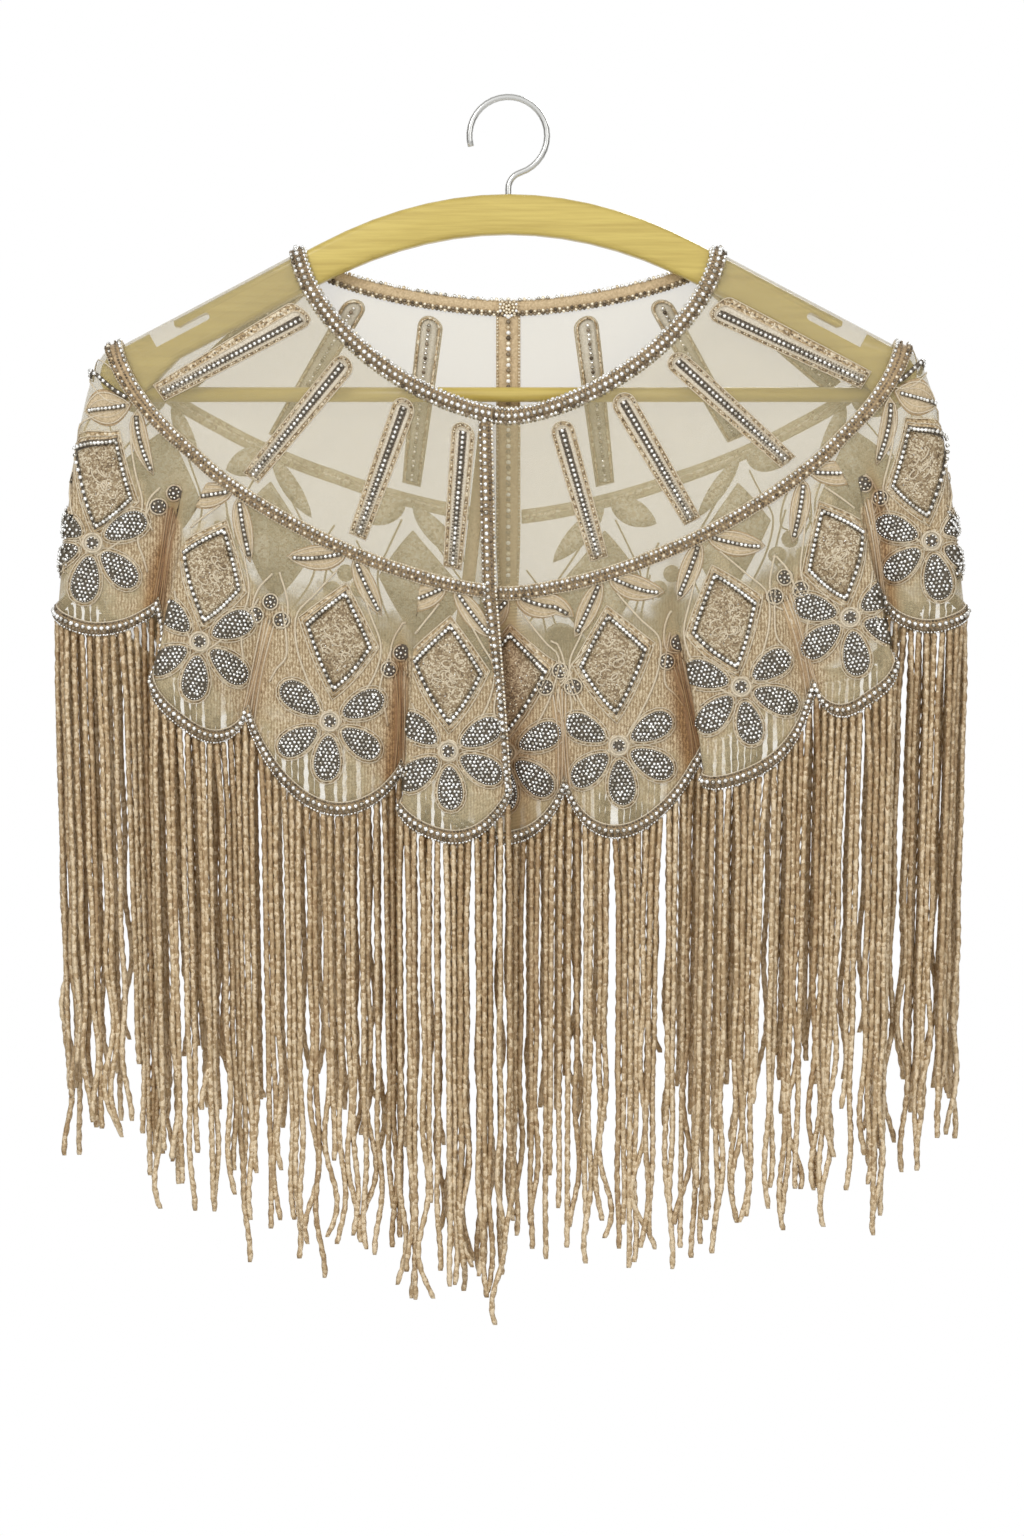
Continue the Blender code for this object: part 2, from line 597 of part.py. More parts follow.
def notch_cutter(side):
    """A strap notch: a mouth in the arm's top edge and a slot from it towards the hub."""
    mesh = bpy.data.meshes.new("notch")
    shape = bmesh.new()
    lean = math.atan(ARM_SLOPE)
    along = Vector((math.cos(lean), -math.sin(lean)))
    across = Vector((math.sin(lean), math.cos(lean)))
    start = Vector((NOTCH_X, arm_top(NOTCH_X)))
    round_end, above, round_steps = NOTCH_WIDTH / 2, 0.004, 6
    places_in_slot = [(NOTCH_LENGTH, -NOTCH_FLOOR), (NOTCH_LENGTH, above), (NOTCH_LIP - 0.003, above),
                      (NOTCH_LIP - 0.001, -NOTCH_FLOOR + NOTCH_WIDTH + 0.0015),
                      (NOTCH_LIP - 0.003, -NOTCH_FLOOR + NOTCH_WIDTH)]
    for k in range(round_steps + 1):
        angle = math.pi * k / round_steps
        places_in_slot.append((round_end - round_end * math.sin(angle),
                               -NOTCH_FLOOR + round_end + round_end * math.cos(angle)))
    corners = [start + along * a + across * b for a, b in places_in_slot]
    near = [shape.verts.new((side * p.x, -ARM_THICK, p.y)) for p in corners]
    far = [shape.verts.new((side * p.x, ARM_THICK, p.y)) for p in corners]
    shape.faces.new(near)
    shape.faces.new(far[::-1])
    for k in range(len(corners)):
        n = (k + 1) % len(corners)
        shape.faces.new((near[n], near[k], far[k], far[n]))
    bmesh.ops.recalc_face_normals(shape, faces=shape.faces)
    shape.to_mesh(mesh)
    shape.free()
    return hidden_cutter("notch", mesh)


def make_hanger():
    half = arm_outline()
    outline = half + [(-x, z) for x, z in reversed(half)]
    outline = [p for k, p in enumerate(outline) if math.dist(p, outline[k - 1]) > 1e-6]
    mesh = bpy.data.meshes.new("hanger_arms")
    shape = bmesh.new()
    front = [shape.verts.new((x, -ARM_THICK / 2, z)) for x, z in outline]
    face = shape.faces.new(front)
    moved = bmesh.ops.extrude_face_region(shape, geom=[face])["geom"]
    bmesh.ops.translate(shape, vec=(0, ARM_THICK, 0), verts=[v for v in moved if isinstance(v, bmesh.types.BMVert)])
    bmesh.ops.recalc_face_normals(shape, faces=shape.faces)
    flat = [e for e in shape.edges if abs(e.verts[0].co.y - e.verts[1].co.y) < 1e-7]
    bmesh.ops.bevel(shape, geom=flat, offset=ARM_EDGE, segments=3, profile=0.5, affect="EDGES", clamp_overlap=True)
    shape.to_mesh(mesh)
    shape.free()
    arms = make_object("hanger_arms", mesh, hanger_wood)

    cutters = [notch_cutter(-1), notch_cutter(1)]
    inner_reach = 0.035
    for side in (-1, 1):
        start = Vector((side * (BAR_HALF - inner_reach), 0, BAR_Z))
        cutters.append(cylinder_cutter("bar_hole", BAR_HOLE, start, Vector((side * (BAR_HALF + 2 * SEAM), 0, BAR_Z))))
    hub_top = arm_top(0.0)
    foot = Vector((0, 0, hub_top - STEM_FOOT - SEAM))
    cutters.append(cylinder_cutter("stem_hole", WIRE + SEAM, foot, Vector((0, 0, hub_top + STEM_FOOT))))
    for cutter in cutters:
        cut = arms.modifiers.new("cut", "BOOLEAN")
        cut.operation = "DIFFERENCE"
        cut.object = cutter

    mesh = bpy.data.meshes.new("hanger_bar")
    shape = bmesh.new()
    bmesh.ops.create_cone(shape, cap_ends=True, segments=16, radius1=BAR_RADIUS, radius2=BAR_RADIUS,
                          depth=2 * BAR_HALF)
    bmesh.ops.transform(shape, matrix=Matrix.Translation((0, 0, BAR_Z)) @ Matrix.Rotation(math.pi / 2, 4, "Y"),
                        verts=shape.verts)
    shape.to_mesh(mesh)
    shape.free()
    make_object("hanger_bar", mesh, hanger_wood)
    make_hook(hub_top)


def make_hook(hub_top):
    """A wire stem out of the hub, a small bend, and the open hook whose inner top is the origin."""
    wire_line = HOOK_RADIUS + WIRE
    centre_z = -HOOK_RADIUS
    bend_z = centre_z - math.sqrt((wire_line + HOOK_TURN) ** 2 - HOOK_TURN**2)
    meet = math.atan2(centre_z - bend_z, -HOOK_TURN)
    route = [(0.0, hub_top - STEM_FOOT), (0.0, hub_top)]
    bend_steps, hook_steps = 6, 26
    for k in range(bend_steps + 1):
        angle = math.pi + (meet - math.pi) * k / bend_steps
        route.append((HOOK_TURN + HOOK_TURN * math.cos(angle), bend_z + HOOK_TURN * math.sin(angle)))
    first = meet - math.pi
    for k in range(1, hook_steps + 1):
        angle = first + (HOOK_END - first) * k / hook_steps
        route.append((wire_line * math.cos(angle), centre_z + wire_line * math.sin(angle)))
    curve = bpy.data.curves.new("hanger_hook", "CURVE")
    curve.dimensions = "3D"
    curve.bevel_depth = WIRE
    curve.bevel_resolution = 2
    curve.use_fill_caps = True
    spline = curve.splines.new("POLY")
    spline.points.add(len(route) - 1)
    for point, (x, z) in zip(spline.points, route):
        point.co = (x, 0.0, z, 1.0)
    curve.materials.append(hook_steel)
    hook = bpy.data.objects.new("hanger_hook", curve)
    bpy.context.scene.collection.objects.link(hook)


for each in (LEFT, RIGHT):
    make_net(each)
    make_bands(each)
    make_diamonds(each)
    make_fringe(each)
make_placket()
make_hanger()
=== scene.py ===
import math
from collections import namedtuple

import bpy
import numpy as np
from mathutils import Matrix, Vector


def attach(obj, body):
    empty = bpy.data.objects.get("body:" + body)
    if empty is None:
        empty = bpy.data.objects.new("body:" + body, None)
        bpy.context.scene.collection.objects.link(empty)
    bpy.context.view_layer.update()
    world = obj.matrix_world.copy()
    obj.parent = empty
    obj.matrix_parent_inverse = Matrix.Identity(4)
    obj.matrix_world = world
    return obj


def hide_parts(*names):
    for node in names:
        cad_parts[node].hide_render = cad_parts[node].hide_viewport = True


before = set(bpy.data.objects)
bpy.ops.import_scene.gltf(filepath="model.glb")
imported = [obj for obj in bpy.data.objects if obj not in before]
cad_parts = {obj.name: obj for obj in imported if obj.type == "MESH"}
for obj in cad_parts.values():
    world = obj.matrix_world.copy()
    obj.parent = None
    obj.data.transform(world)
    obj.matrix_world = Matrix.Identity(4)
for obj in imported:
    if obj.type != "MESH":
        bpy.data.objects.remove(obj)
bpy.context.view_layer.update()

bpy.ops.object.select_all(action="DESELECT")

# ---- The room ---------------------------------------------------------------------------------
# A white studio: a pale floor well below the hanging cape, an even white surround and three
# large soft lamps, with the camera level with the middle of the cape.
HEIGHT_IN_VIEW = 0.814
CAMERA_AWAY = 2.60
FILM_HEIGHT = 36.0
HANGING_MIDDLE = Vector((0.002, 0.0, -0.356))
CAPE_FRONT = -0.015
FLOOR_DROP = 1.62
FLOOR_SIZE = 7.0
SURROUND_POWER = 1.05
SURROUND_TONES = ((0.15, (0.13, 0.12, 0.11)), (0.85, (1.0, 1.0, 1.0)))   # beside the cape, before it
LIGHT_FROM_ABOVE = 0.30
LAYERS_SEEN_THROUGH = 32

camera_data = bpy.data.cameras.new("camera")
camera_data.sensor_fit = "VERTICAL"
camera_data.sensor_height = FILM_HEIGHT
camera_data.lens = FILM_HEIGHT * CAMERA_AWAY / HEIGHT_IN_VIEW
camera = bpy.data.objects.new("camera", camera_data)
camera.location = HANGING_MIDDLE + Vector((0.0, CAPE_FRONT - CAMERA_AWAY, 0.0))
camera.rotation_euler = (math.radians(90), 0.0, 0.0)
bpy.context.scene.collection.objects.link(camera)
bpy.context.scene.camera = camera
bpy.context.scene.view_settings.view_transform = "Standard"
bpy.context.scene.cycles.transparent_max_bounces = LAYERS_SEEN_THROUGH


def plain_material(name, colour, roughness, metallic=0.0):
    """A Principled material, with its tree and its shader."""
    material = bpy.data.materials.new(name)
    material.use_nodes = True
    tree = material.node_tree
    shader = tree.nodes["Principled BSDF"]
    shader.inputs["Base Color"].default_value = (*colour, 1.0)
    shader.inputs["Roughness"].default_value = roughness
    shader.inputs["Metallic"].default_value = metallic
    return material, tree, shader


def link(tree, out, into):
    tree.links.new(out, into)


def node(tree, kind, **values):
    """A shader node with its settings and, by name, the values of its inputs."""
    made = tree.nodes.new("ShaderNode" + kind)
    for name, value in values.items():
        if hasattr(made, name) and name not in made.inputs:
            setattr(made, name, value)
        else:
            made.inputs[name.replace("_", " ")].default_value = value
    return made


def worked_out(tree, operation, *terms, **settings):
    """A number worked out from other nodes' outputs and from plain numbers."""
    made = node(tree, "Math", operation=operation, **settings)
    for place, term in zip(made.inputs, terms):
        if isinstance(term, float):
            place.default_value = term
        else:
            link(tree, term, place)
    return made.outputs[0]


def coloured_by(tree, factor, stops):
    """A colour ramp driven by a factor; stops are (position, colour)."""
    ramp = tree.nodes.new("ShaderNodeValToRGB")
    while len(ramp.color_ramp.elements) < len(stops):
        ramp.color_ramp.elements.new(0.5)
    for element, (position, colour) in zip(ramp.color_ramp.elements, stops):
        element.position = position
        element.color = (*colour, 1.0)
    link(tree, factor, ramp.inputs[0])
    return ramp.outputs["Color"]


def soft_lamp(name, place, size, power):
    lamp = bpy.data.lights.new(name, "AREA")
    lamp.shape = "DISK"
    lamp.size = size
    lamp.energy = power
    holder = bpy.data.objects.new(name, lamp)
    holder.location = place
    holder.rotation_euler = (HANGING_MIDDLE - Vector(place)).to_track_quat("-Z", "Y").to_euler()
    bpy.context.scene.collection.objects.link(holder)


soft_lamp("key_lamp", (-1.4, -2.2, 1.1), 0.8, 24)
soft_lamp("fill_lamp", (1.9, -1.9, 0.3), 1.5, 8)
soft_lamp("back_lamp", (0.9, 2.3, 1.1), 1.1, 22)

world = bpy.data.worlds.new("white_surround")
bpy.context.scene.world = world
world.use_nodes = True
sky = world.node_tree
sky.nodes.clear()
parts = node(sky, "SeparateXYZ")
link(sky, node(sky, "TexCoord").outputs["Generated"], parts.inputs[0])
ahead = worked_out(sky, "ABSOLUTE", parts.outputs["Y"])
brightness = worked_out(sky, "MULTIPLY_ADD", parts.outputs["Z"], LIGHT_FROM_ABOVE, ahead)
soft_sky = node(sky, "Background", Strength=SURROUND_POWER)
link(sky, coloured_by(sky, brightness, SURROUND_TONES), soft_sky.inputs["Color"])
seen_white = node(sky, "Background", Color=(1.0, 1.0, 1.0, 1.0))
either = node(sky, "MixShader")
link(sky, node(sky, "LightPath").outputs["Is Camera Ray"], either.inputs[0])
link(sky, soft_sky.outputs[0], either.inputs[1])
link(sky, seen_white.outputs[0], either.inputs[2])
link(sky, either.outputs[0], node(sky, "OutputWorld").inputs[0])

bpy.ops.mesh.primitive_plane_add(size=FLOOR_SIZE, location=(0.0, 0.0, -FLOOR_DROP))
floor = bpy.context.object
floor.name = "studio_floor"
floor.data.materials.append(plain_material("pale_floor", (0.86, 0.86, 0.85), 0.7)[0])
bpy.ops.object.select_all(action="DESELECT")


# ---- The hanger ---------------------------------------------------------------------------------
# A yellow varnished plank hanger with a trouser bar, turned and glued into its arms, and a bright
# wire hook screwed into the hub.  Its edges are rounded and its grain runs along the arms.
FIBRES = (18.0, 260.0, 420.0)       # how fine the grain is along an arm, through it and up it


def raised_by(tree, shader, height, distance, strength=1.0):
    """Bump on a shader from a height."""
    bump = node(tree, "Bump", Strength=strength, Distance=distance)
    link(tree, height, bump.inputs["Height"])
    link(tree, bump.outputs["Normal"], shader.inputs["Normal"])


def ranged(tree, value, **ends):
    """A value carried over to another range."""
    made = node(tree, "MapRange", **ends)
    link(tree, value, made.inputs["Value"])
    return made.outputs["Result"]


def laid(tree, kind, source="Object", stretch=None, **values):
    """A texture laid by the object's own places or its UV, and stretched along each axis."""
    made = node(tree, "Tex" + kind, **values)
    place = node(tree, "TexCoord").outputs[source]
    if stretch:
        mapping = node(tree, "Mapping", Scale=stretch)
        link(tree, place, mapping.inputs["Vector"])
        place = mapping.outputs["Vector"]
    link(tree, place, made.inputs["Vector"])
    return made


def wood_finish(name, light, dark):
    """Varnished beech: fine fibres along the arm, lighter and darker, under a clear coat."""
    material, tree, shader = plain_material(name, light, 0.34)
    fibres = laid(tree, "Noise", stretch=FIBRES, Scale=1.0, Detail=6.0, Roughness=0.6).outputs["Fac"]
    link(tree, coloured_by(tree, fibres, ((0.30, dark), (0.62, light))), shader.inputs["Base Color"])
    raised_by(tree, shader, fibres, 0.0002, 0.5)
    shader.inputs["Coat Weight"].default_value = 0.35
    shader.inputs["Coat Roughness"].default_value = 0.18
    return material


def refined(cad_node, name, material, angle):
    """A welded, smoothly shaded copy of a hard CAD node, which stands for it."""
    bpy.ops.object.select_all(action="DESELECT")
    source = bpy.data.objects[cad_node]
    copy = bpy.data.objects.new(name, source.data.copy())
    bpy.context.scene.collection.objects.link(copy)
    bpy.context.view_layer.objects.active = copy
    copy.select_set(True)
    bpy.ops.object.mode_set(mode="EDIT")
    bpy.ops.mesh.select_all(action="SELECT")
    bpy.ops.mesh.remove_doubles(threshold=0.00001)
    bpy.ops.mesh.tris_convert_to_quads(face_threshold=0.1, shape_threshold=0.1)
    bpy.ops.object.mode_set(mode="OBJECT")
    bpy.ops.object.shade_smooth_by_angle(angle=math.radians(angle))
    copy.data.materials.clear()
    copy.data.materials.append(material)
    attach(copy, "root")
    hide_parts(cad_node)
    bpy.ops.object.select_all(action="DESELECT")
    return copy


varnished_wood = wood_finish("varnished_wood", (0.60, 0.465, 0.115), (0.47, 0.345, 0.075))
refined("hanger_arms", "hanger_arms_wood", varnished_wood, 40)
refined("hanger_bar", "hanger_bar_wood", varnished_wood, 50)

hook_metal, hook_tree, hook_shader = plain_material("hook_wire", (0.62, 0.62, 0.60), 0.22, 1.0)
hook_scuffs = node(hook_tree, "TexNoise", Scale=900.0, Detail=3.0).outputs["Fac"]
hook_wear = ranged(hook_tree, hook_scuffs, To_Min=0.15, To_Max=0.38)
link(hook_tree, hook_wear, hook_shader.inputs["Roughness"])
refined("hanger_hook", "hanger_hook_wire", hook_metal, 60)


# ---- The net ------------------------------------------------------------------------------------
# Sheer nude net cut as two halves of a ring that meet at the centre back.  It hangs over the
# hanger's arms and falls in the folds that the tables give; everything else is sewn to it.
Ring = namedtuple("Ring", "half_width drops powers")      # a drop and a power for its front and its back
NECK = Ring(0.1120, (0.0885, 0.0290), (1.60, 1.60))
YOKE = Ring(0.2065, (0.1320, 0.0910), (1.55, 1.42))
SCALLOP_DROP = 0.0310
SCALLOP_POWER = 0.80
SHOULDER_ARCH = 0.0060
SIDE_ARCH = 0.0160
ARM_SLOPE = 0.53
ARM_TOP_X = 0.1150
RIDGE_AT_ARM = -0.0824      # height of the cloth's middle over the arm at ARM_TOP_X
NET_THICK = 0.0003
COLUMNS_PER_SCALLOP = 26
NET_ROWS = 64
NET_AT_FRONT, NET_AT_BACK = 0.02, 0.01       # what the net leaves to its edge bindings, in "at"
NET_TOP, NET_FOOT = 0.01, 1.985              # where it starts and ends, in "down"
NET_FALL = 0.30                              # metres from its neck to its hem, for its threads
MID_SKIRT = 1.6
SKIRT_EASE, SKIRT_EASE_LOST = 0.90, 0.53     # how the skirt spreads at the middle, and less at the side
DEPTH_EASE = 1.2
FOLD_FADE, CREASE_PAST = 0.25, 0.15          # how softly a fold starts, and how far past its end it goes

# In the tables "at" counts scallops from a front edge round the side to the centre back, "out" is
# how far from the middle a place lies towards that half's side, and "deep" how far from the
# hanger's plane.
Ray = namedtuple("Ray", "at neck_out neck_deep yoke_out yoke_deep")
Hem = namedtuple("Hem", "at out deep level reach")
Crease = namedtuple("Crease", "at slant start end depth width")
Half = namedtuple("Half", "name side ridge back_edge rays hems creases shades pleats")

LEFT = Half("left", -1, 3.75, 7.0, rays=(
    Ray(0.00, 0.0085, 0.0150, 0.0064, 0.0175),
    Ray(0.50, 0.0228, 0.0145, 0.0302, 0.0172),
    Ray(1.50, 0.0509, 0.0115, 0.0827, 0.0142),
    Ray(2.50, 0.0800, 0.0092, 0.1420, 0.0112),
    Ray(3.50, 0.0986, 0.0086, 0.1924, 0.0088),
    Ray(3.75, 0.1120, 0.0086, 0.2065, 0.0088),
    Ray(4.50, 0.1020, 0.0086, 0.1800, 0.0090),
    Ray(5.50, 0.0760, 0.0090, 0.1280, 0.0105),
    Ray(6.50, 0.0410, 0.0100, 0.0530, 0.0120),
    Ray(7.00, 0.0000, 0.0102, 0.0000, 0.0122),
), hems=(
    Hem(0.00, -0.0016, 0.0260, -0.3660, -0.6380),
    Hem(0.50, 0.0323, 0.0280, -0.3610, -0.6380),
    Hem(0.80, 0.0560, 0.0260, -0.3570, -0.6280),      # fold edge, on top
    Hem(0.92, 0.0520, 0.0160, -0.3555, -0.6170),      # tucked under
    Hem(1.10, 0.0650, 0.0140, -0.3530, -0.6150),
    Hem(1.50, 0.0990, 0.0200, -0.3450, -0.6160),
    Hem(2.00, 0.1383, 0.0170, -0.3260, -0.5980),
    Hem(2.50, 0.1700, 0.0300, -0.3020, -0.5920),
    Hem(2.72, 0.1868, 0.0275, -0.2880, -0.5860),      # fold edge, on top
    Hem(2.92, 0.1820, 0.0145, -0.2750, -0.5680),      # tucked under
    Hem(3.12, 0.1960, 0.0120, -0.2610, -0.5640),
    Hem(3.50, 0.2270, 0.0160, -0.2500, -0.5610),
    Hem(3.75, 0.2395, 0.0160, -0.2470, -0.5530),
    Hem(4.05, 0.2220, 0.0170, -0.2540, -0.5400),
    Hem(4.50, 0.1870, 0.0250, -0.2700, -0.5240),
    Hem(4.80, 0.1650, 0.0240, -0.2820, -0.5280),      # pleat, its upper edge
    Hem(4.95, 0.1590, 0.0150, -0.2860, -0.5290),      # and its foot
    Hem(5.12, 0.1490, 0.0130, -0.2920, -0.5310),
    Hem(5.50, 0.1240, 0.0180, -0.3030, -0.5380),
    Hem(6.00, 0.0820, 0.0140, -0.3110, -0.5460),
    Hem(6.50, 0.0410, 0.0230, -0.3160, -0.5510),
    Hem(7.00, 0.0000, 0.0150, -0.3200, -0.5530),
), creases=(
    Crease(1.95, 0.10, 1.15, 2.00, -0.0022, 0.10),
    Crease(3.08, -0.10, 1.10, 1.80, -0.0020, 0.09),
    Crease(2.20, 0.20, 1.20, 1.75, 0.0014, 0.12),
    Crease(5.45, 0.10, 1.25, 2.00, 0.0018, 0.12),
    Crease(6.02, -0.05, 1.10, 2.00, -0.0020, 0.10),
), shades=(     # brown shade gathered beside the folds, as deep as "depth" says
    Crease(1.00, 0.08, 1.20, 2.10, 0.95, 0.07),
    Crease(2.98, 0.08, 1.10, 2.10, 0.90, 0.08),
    Crease(5.00, 0.05, 1.30, 2.10, 0.60, 0.08),
), pleats=(     # where the work before a fold ends, and where the work after it starts
    (0.82, 0.95), (2.74, 2.96), (4.84, 4.97),
))

RIGHT = Half("right", 1, 4.75, 8.0, rays=(
    Ray(0.00, -0.0148, 0.0100, -0.0249, 0.0115),
    Ray(0.50, 0.0040, 0.0102, 0.0016, 0.0120),
    Ray(1.50, 0.0249, 0.0112, 0.0504, 0.0132),
    Ray(2.50, 0.0545, 0.0108, 0.1018, 0.0130),
    Ray(3.50, 0.0806, 0.0092, 0.1548, 0.0108),
    Ray(4.50, 0.1002, 0.0086, 0.1972, 0.0088),
    Ray(4.75, 0.1120, 0.0086, 0.2065, 0.0088),
    Ray(5.50, 0.1020, 0.0086, 0.1800, 0.0090),
    Ray(6.50, 0.0760, 0.0090, 0.1260, 0.0105),
    Ray(7.50, 0.0410, 0.0100, 0.0530, 0.0120),
    Ray(8.00, 0.0000, 0.0102, 0.0000, 0.0122),
), hems=(
    Hem(0.00, -0.0387, 0.0140, -0.3660, -0.6300),
    Hem(0.50, -0.0026, 0.0155, -0.3620, -0.6280),
    Hem(1.00, 0.0297, 0.0130, -0.3640, -0.6090),
    Hem(1.50, 0.0620, 0.0180, -0.3580, -0.6270),
    Hem(1.95, 0.0970, 0.0140, -0.3490, -0.6130),
    Hem(2.04, 0.1060, 0.0160, -0.3468, -0.6100),      # tucked under
    Hem(2.18, 0.1044, 0.0262, -0.3428, -0.6060),      # fold edge, on top
    Hem(2.50, 0.1314, 0.0280, -0.3260, -0.5960),
    Hem(3.00, 0.1620, 0.0190, -0.3120, -0.5960),
    Hem(3.50, 0.1890, 0.0300, -0.2890, -0.5910),
    Hem(3.74, 0.2035, 0.0270, -0.2790, -0.5870),      # fold edge, on top
    Hem(3.92, 0.1960, 0.0150, -0.2690, -0.5620),      # tucked under
    Hem(4.12, 0.2040, 0.0120, -0.2580, -0.5590),
    Hem(4.50, 0.2300, 0.0160, -0.2490, -0.5600),
    Hem(4.75, 0.2425, 0.0160, -0.2470, -0.5530),
    Hem(5.05, 0.2245, 0.0170, -0.2540, -0.5380),
    Hem(5.50, 0.1900, 0.0240, -0.2700, -0.5230),
    Hem(6.00, 0.1500, 0.0140, -0.2930, -0.5330),
    Hem(6.50, 0.1120, 0.0230, -0.3060, -0.5400),
    Hem(6.78, 0.0930, 0.0230, -0.3090, -0.5440),      # pleat, its upper edge
    Hem(6.93, 0.0880, 0.0140, -0.3105, -0.5450),      # and its foot
    Hem(7.12, 0.0760, 0.0130, -0.3130, -0.5470),
    Hem(7.50, 0.0450, 0.0190, -0.3160, -0.5510),
    Hem(8.00, 0.0000, 0.0150, -0.3200, -0.5530),
), creases=(
    Crease(1.02, 0.08, 1.10, 2.00, -0.0020, 0.10),
    Crease(3.02, -0.12, 1.10, 2.00, -0.0022, 0.10),
    Crease(2.70, 0.15, 1.20, 1.80, 0.0014, 0.12),
    Crease(6.00, 0.10, 1.15, 2.00, -0.0018, 0.11),
    Crease(7.45, -0.05, 1.20, 2.00, 0.0016, 0.13),
), shades=(
    # painted shade beside the folds, and the painted shadow that the viewer's left front casts beside its
    # edge
    Crease(0.42, 0.22, 0.90, 2.10, 0.80, 0.22),
    Crease(1.98, -0.02, 1.25, 2.10, 0.95, 0.07),
    Crease(4.10, 0.04, 1.10, 2.10, 0.90, 0.07),
    Crease(7.00, 0.05, 1.30, 2.10, 0.60, 0.08),
), pleats=(
    (2.03, 2.15), (3.77, 3.96), (6.82, 6.95),
))
HALVES = (LEFT, RIGHT)


def smooth(rows, values, at):
    """Values at places along a table, on one smooth curve through all its rows."""
    stops = np.array([row.at for row in rows])
    values = np.array(values)
    low, high = np.maximum(np.arange(len(rows)) - 1, 0), np.minimum(np.arange(len(rows)) + 1, len(rows) - 1)
    slopes = (values[high] - values[low]) / (stops[high] - stops[low])
    i = np.clip(np.searchsorted(stops, at, side="left") - 1, 0, len(rows) - 2)
    span = stops[i + 1] - stops[i]
    w = (at - stops[i]) / span
    return (values[i] * (2 * w**3 - 3 * w**2 + 1) + slopes[i] * span * (w**3 - 2 * w**2 + w)
            + values[i + 1] * (3 * w**2 - 2 * w**3) + slopes[i + 1] * span * (w**3 - w**2))


def signed_power(value, power):
    return np.sign(value) * np.abs(value) ** power


def on_ring(half, ring, ends, at):
    """Out, height and depth on a superellipse through the rays' ends, each end an out and a depth."""
    faces = []
    for back, drop, power in zip((False, True), ring.drops, ring.powers):
        rays = [(row, end) for row, end in zip(half.rays, ends)
                if (row.at >= half.ridge if back else row.at <= half.ridge)]
        rows = [row for row, _ in rays]
        outs, deeps = np.array([end for _, end in rays]).T
        shares = signed_power(np.clip(outs / ring.half_width, -1.0, 1.0), power / 2)
        turn = smooth(rows, np.arccos(shares), at)
        height = (-drop * np.abs(np.sin(turn)) ** (2 / power) + RIDGE_AT_ARM
                  - ARM_SLOPE * (ring.half_width - ARM_TOP_X))
        faces.append((ring.half_width * signed_power(np.cos(turn), 2 / power), height,
                      smooth(rows, deeps, at)))
    return [np.where(at > half.ridge, back, front) for front, back in zip(*faces)]


def nearness(fold, at, down):
    """How near a place is to a fold's line: 1 on it and 0 well away."""
    share = np.clip((down - fold.start) / (fold.end - fold.start), 0.0, 1.0)
    return np.exp(-((at - fold.at - fold.slant * share) / fold.width) ** 2)


def hanging_place(half, at, down):
    """Out, height and depth on the rays; down is 0 at the neck, 1 at the yoke line, 2 at the hem."""
    neck = on_ring(half, NECK, [(row.neck_out, row.neck_deep) for row in half.rays], at)
    yoke = on_ring(half, YOKE, [(row.yoke_out, row.yoke_deep) for row in half.rays], at)
    upper = [a + (b - a) * down for a, b in zip(neck, yoke)]
    part = at - np.floor(at)
    dip = SCALLOP_DROP * np.maximum(0.0, 4 * part * (1 - part)) ** SCALLOP_POWER
    out, level, deep = [smooth(half.hems, [getattr(row, name) for row in half.hems], at)
                        for name in ("out", "level", "deep")]
    w = np.maximum(down - 1.0, 0.0)
    ease = SKIRT_EASE - SKIRT_EASE_LOST * (yoke[0] / YOKE.half_width) ** 2
    lower = (yoke[0] + (out - yoke[0]) * w**ease, yoke[1] + (level - dip - yoke[1]) * w,
             yoke[2] + (deep - yoke[2]) * w**DEPTH_EASE)
    return [np.where(down <= 1.0, a, b) for a, b in zip(upper, lower)]


def cloth_points(half, at, down):
    """Points of the cloth's middle surface."""
    at, down = np.broadcast_arrays(np.asarray(at, float), np.asarray(down, float))
    out, height, deep = hanging_place(half, at, down)
    ridge_out, ridge_height, _ = hanging_place(half, np.full_like(at, half.ridge), down)
    arch = SHOULDER_ARCH + (SIDE_ARCH - SHOULDER_ARCH) * np.maximum(0.0, down - 1.0)
    away = np.minimum(1.0, np.hypot(out - ridge_out, height - ridge_height) / arch)
    rounded = np.sqrt(np.maximum(0.0, 1.0 - (1.0 - away) ** 2))
    for crease in half.creases:
        ends = np.minimum(down - crease.start, crease.end + CREASE_PAST - down)
        deep = deep + crease.depth * np.clip(ends / FOLD_FADE, 0.0, 1.0) * nearness(crease, at, down)
    face = np.where(at > half.ridge, 1.0, -1.0)
    return np.stack((half.side * out, face * deep * rounded, height), axis=-1)


def unit(vectors):
    return vectors / np.maximum(np.linalg.norm(vectors, axis=-1, keepdims=True), 1e-12)


def cloth(half, at, down, lift=0.0):
    """Points lifted off the cloth's right side, and the directions that point out of it there."""
    at, down = np.broadcast_arrays(np.asarray(at, float), np.asarray(down, float))
    step = 0.004
    along = (cloth_points(half, np.minimum(at + step, half.back_edge), down)
             - cloth_points(half, np.maximum(at - step, 0.0), down))
    fall = cloth_points(half, at, np.minimum(down + step, 2.0)) - cloth_points(half, at, down - step)
    out = unit(np.cross(along, fall) * -half.side)
    return cloth_points(half, at, down) + out * np.asarray(lift)[..., None], out


def across_metres(half, at, down):
    """Metres across the cloth for one scallop."""
    step = 0.03
    low, high = np.maximum(at - step, 0.0), np.minimum(at + step, half.back_edge)
    run = cloth_points(half, high, down) - cloth_points(half, low, down)
    return np.linalg.norm(run, axis=-1) / (high - low)


def fall_metres(half, at, down):
    """Metres down the cloth for one step of down."""
    step = 0.03
    high = np.minimum(down + step, 2.0)
    run = cloth_points(half, at, high) - cloth_points(half, at, high - 2 * step)
    return np.linalg.norm(run, axis=-1) / (2 * step)


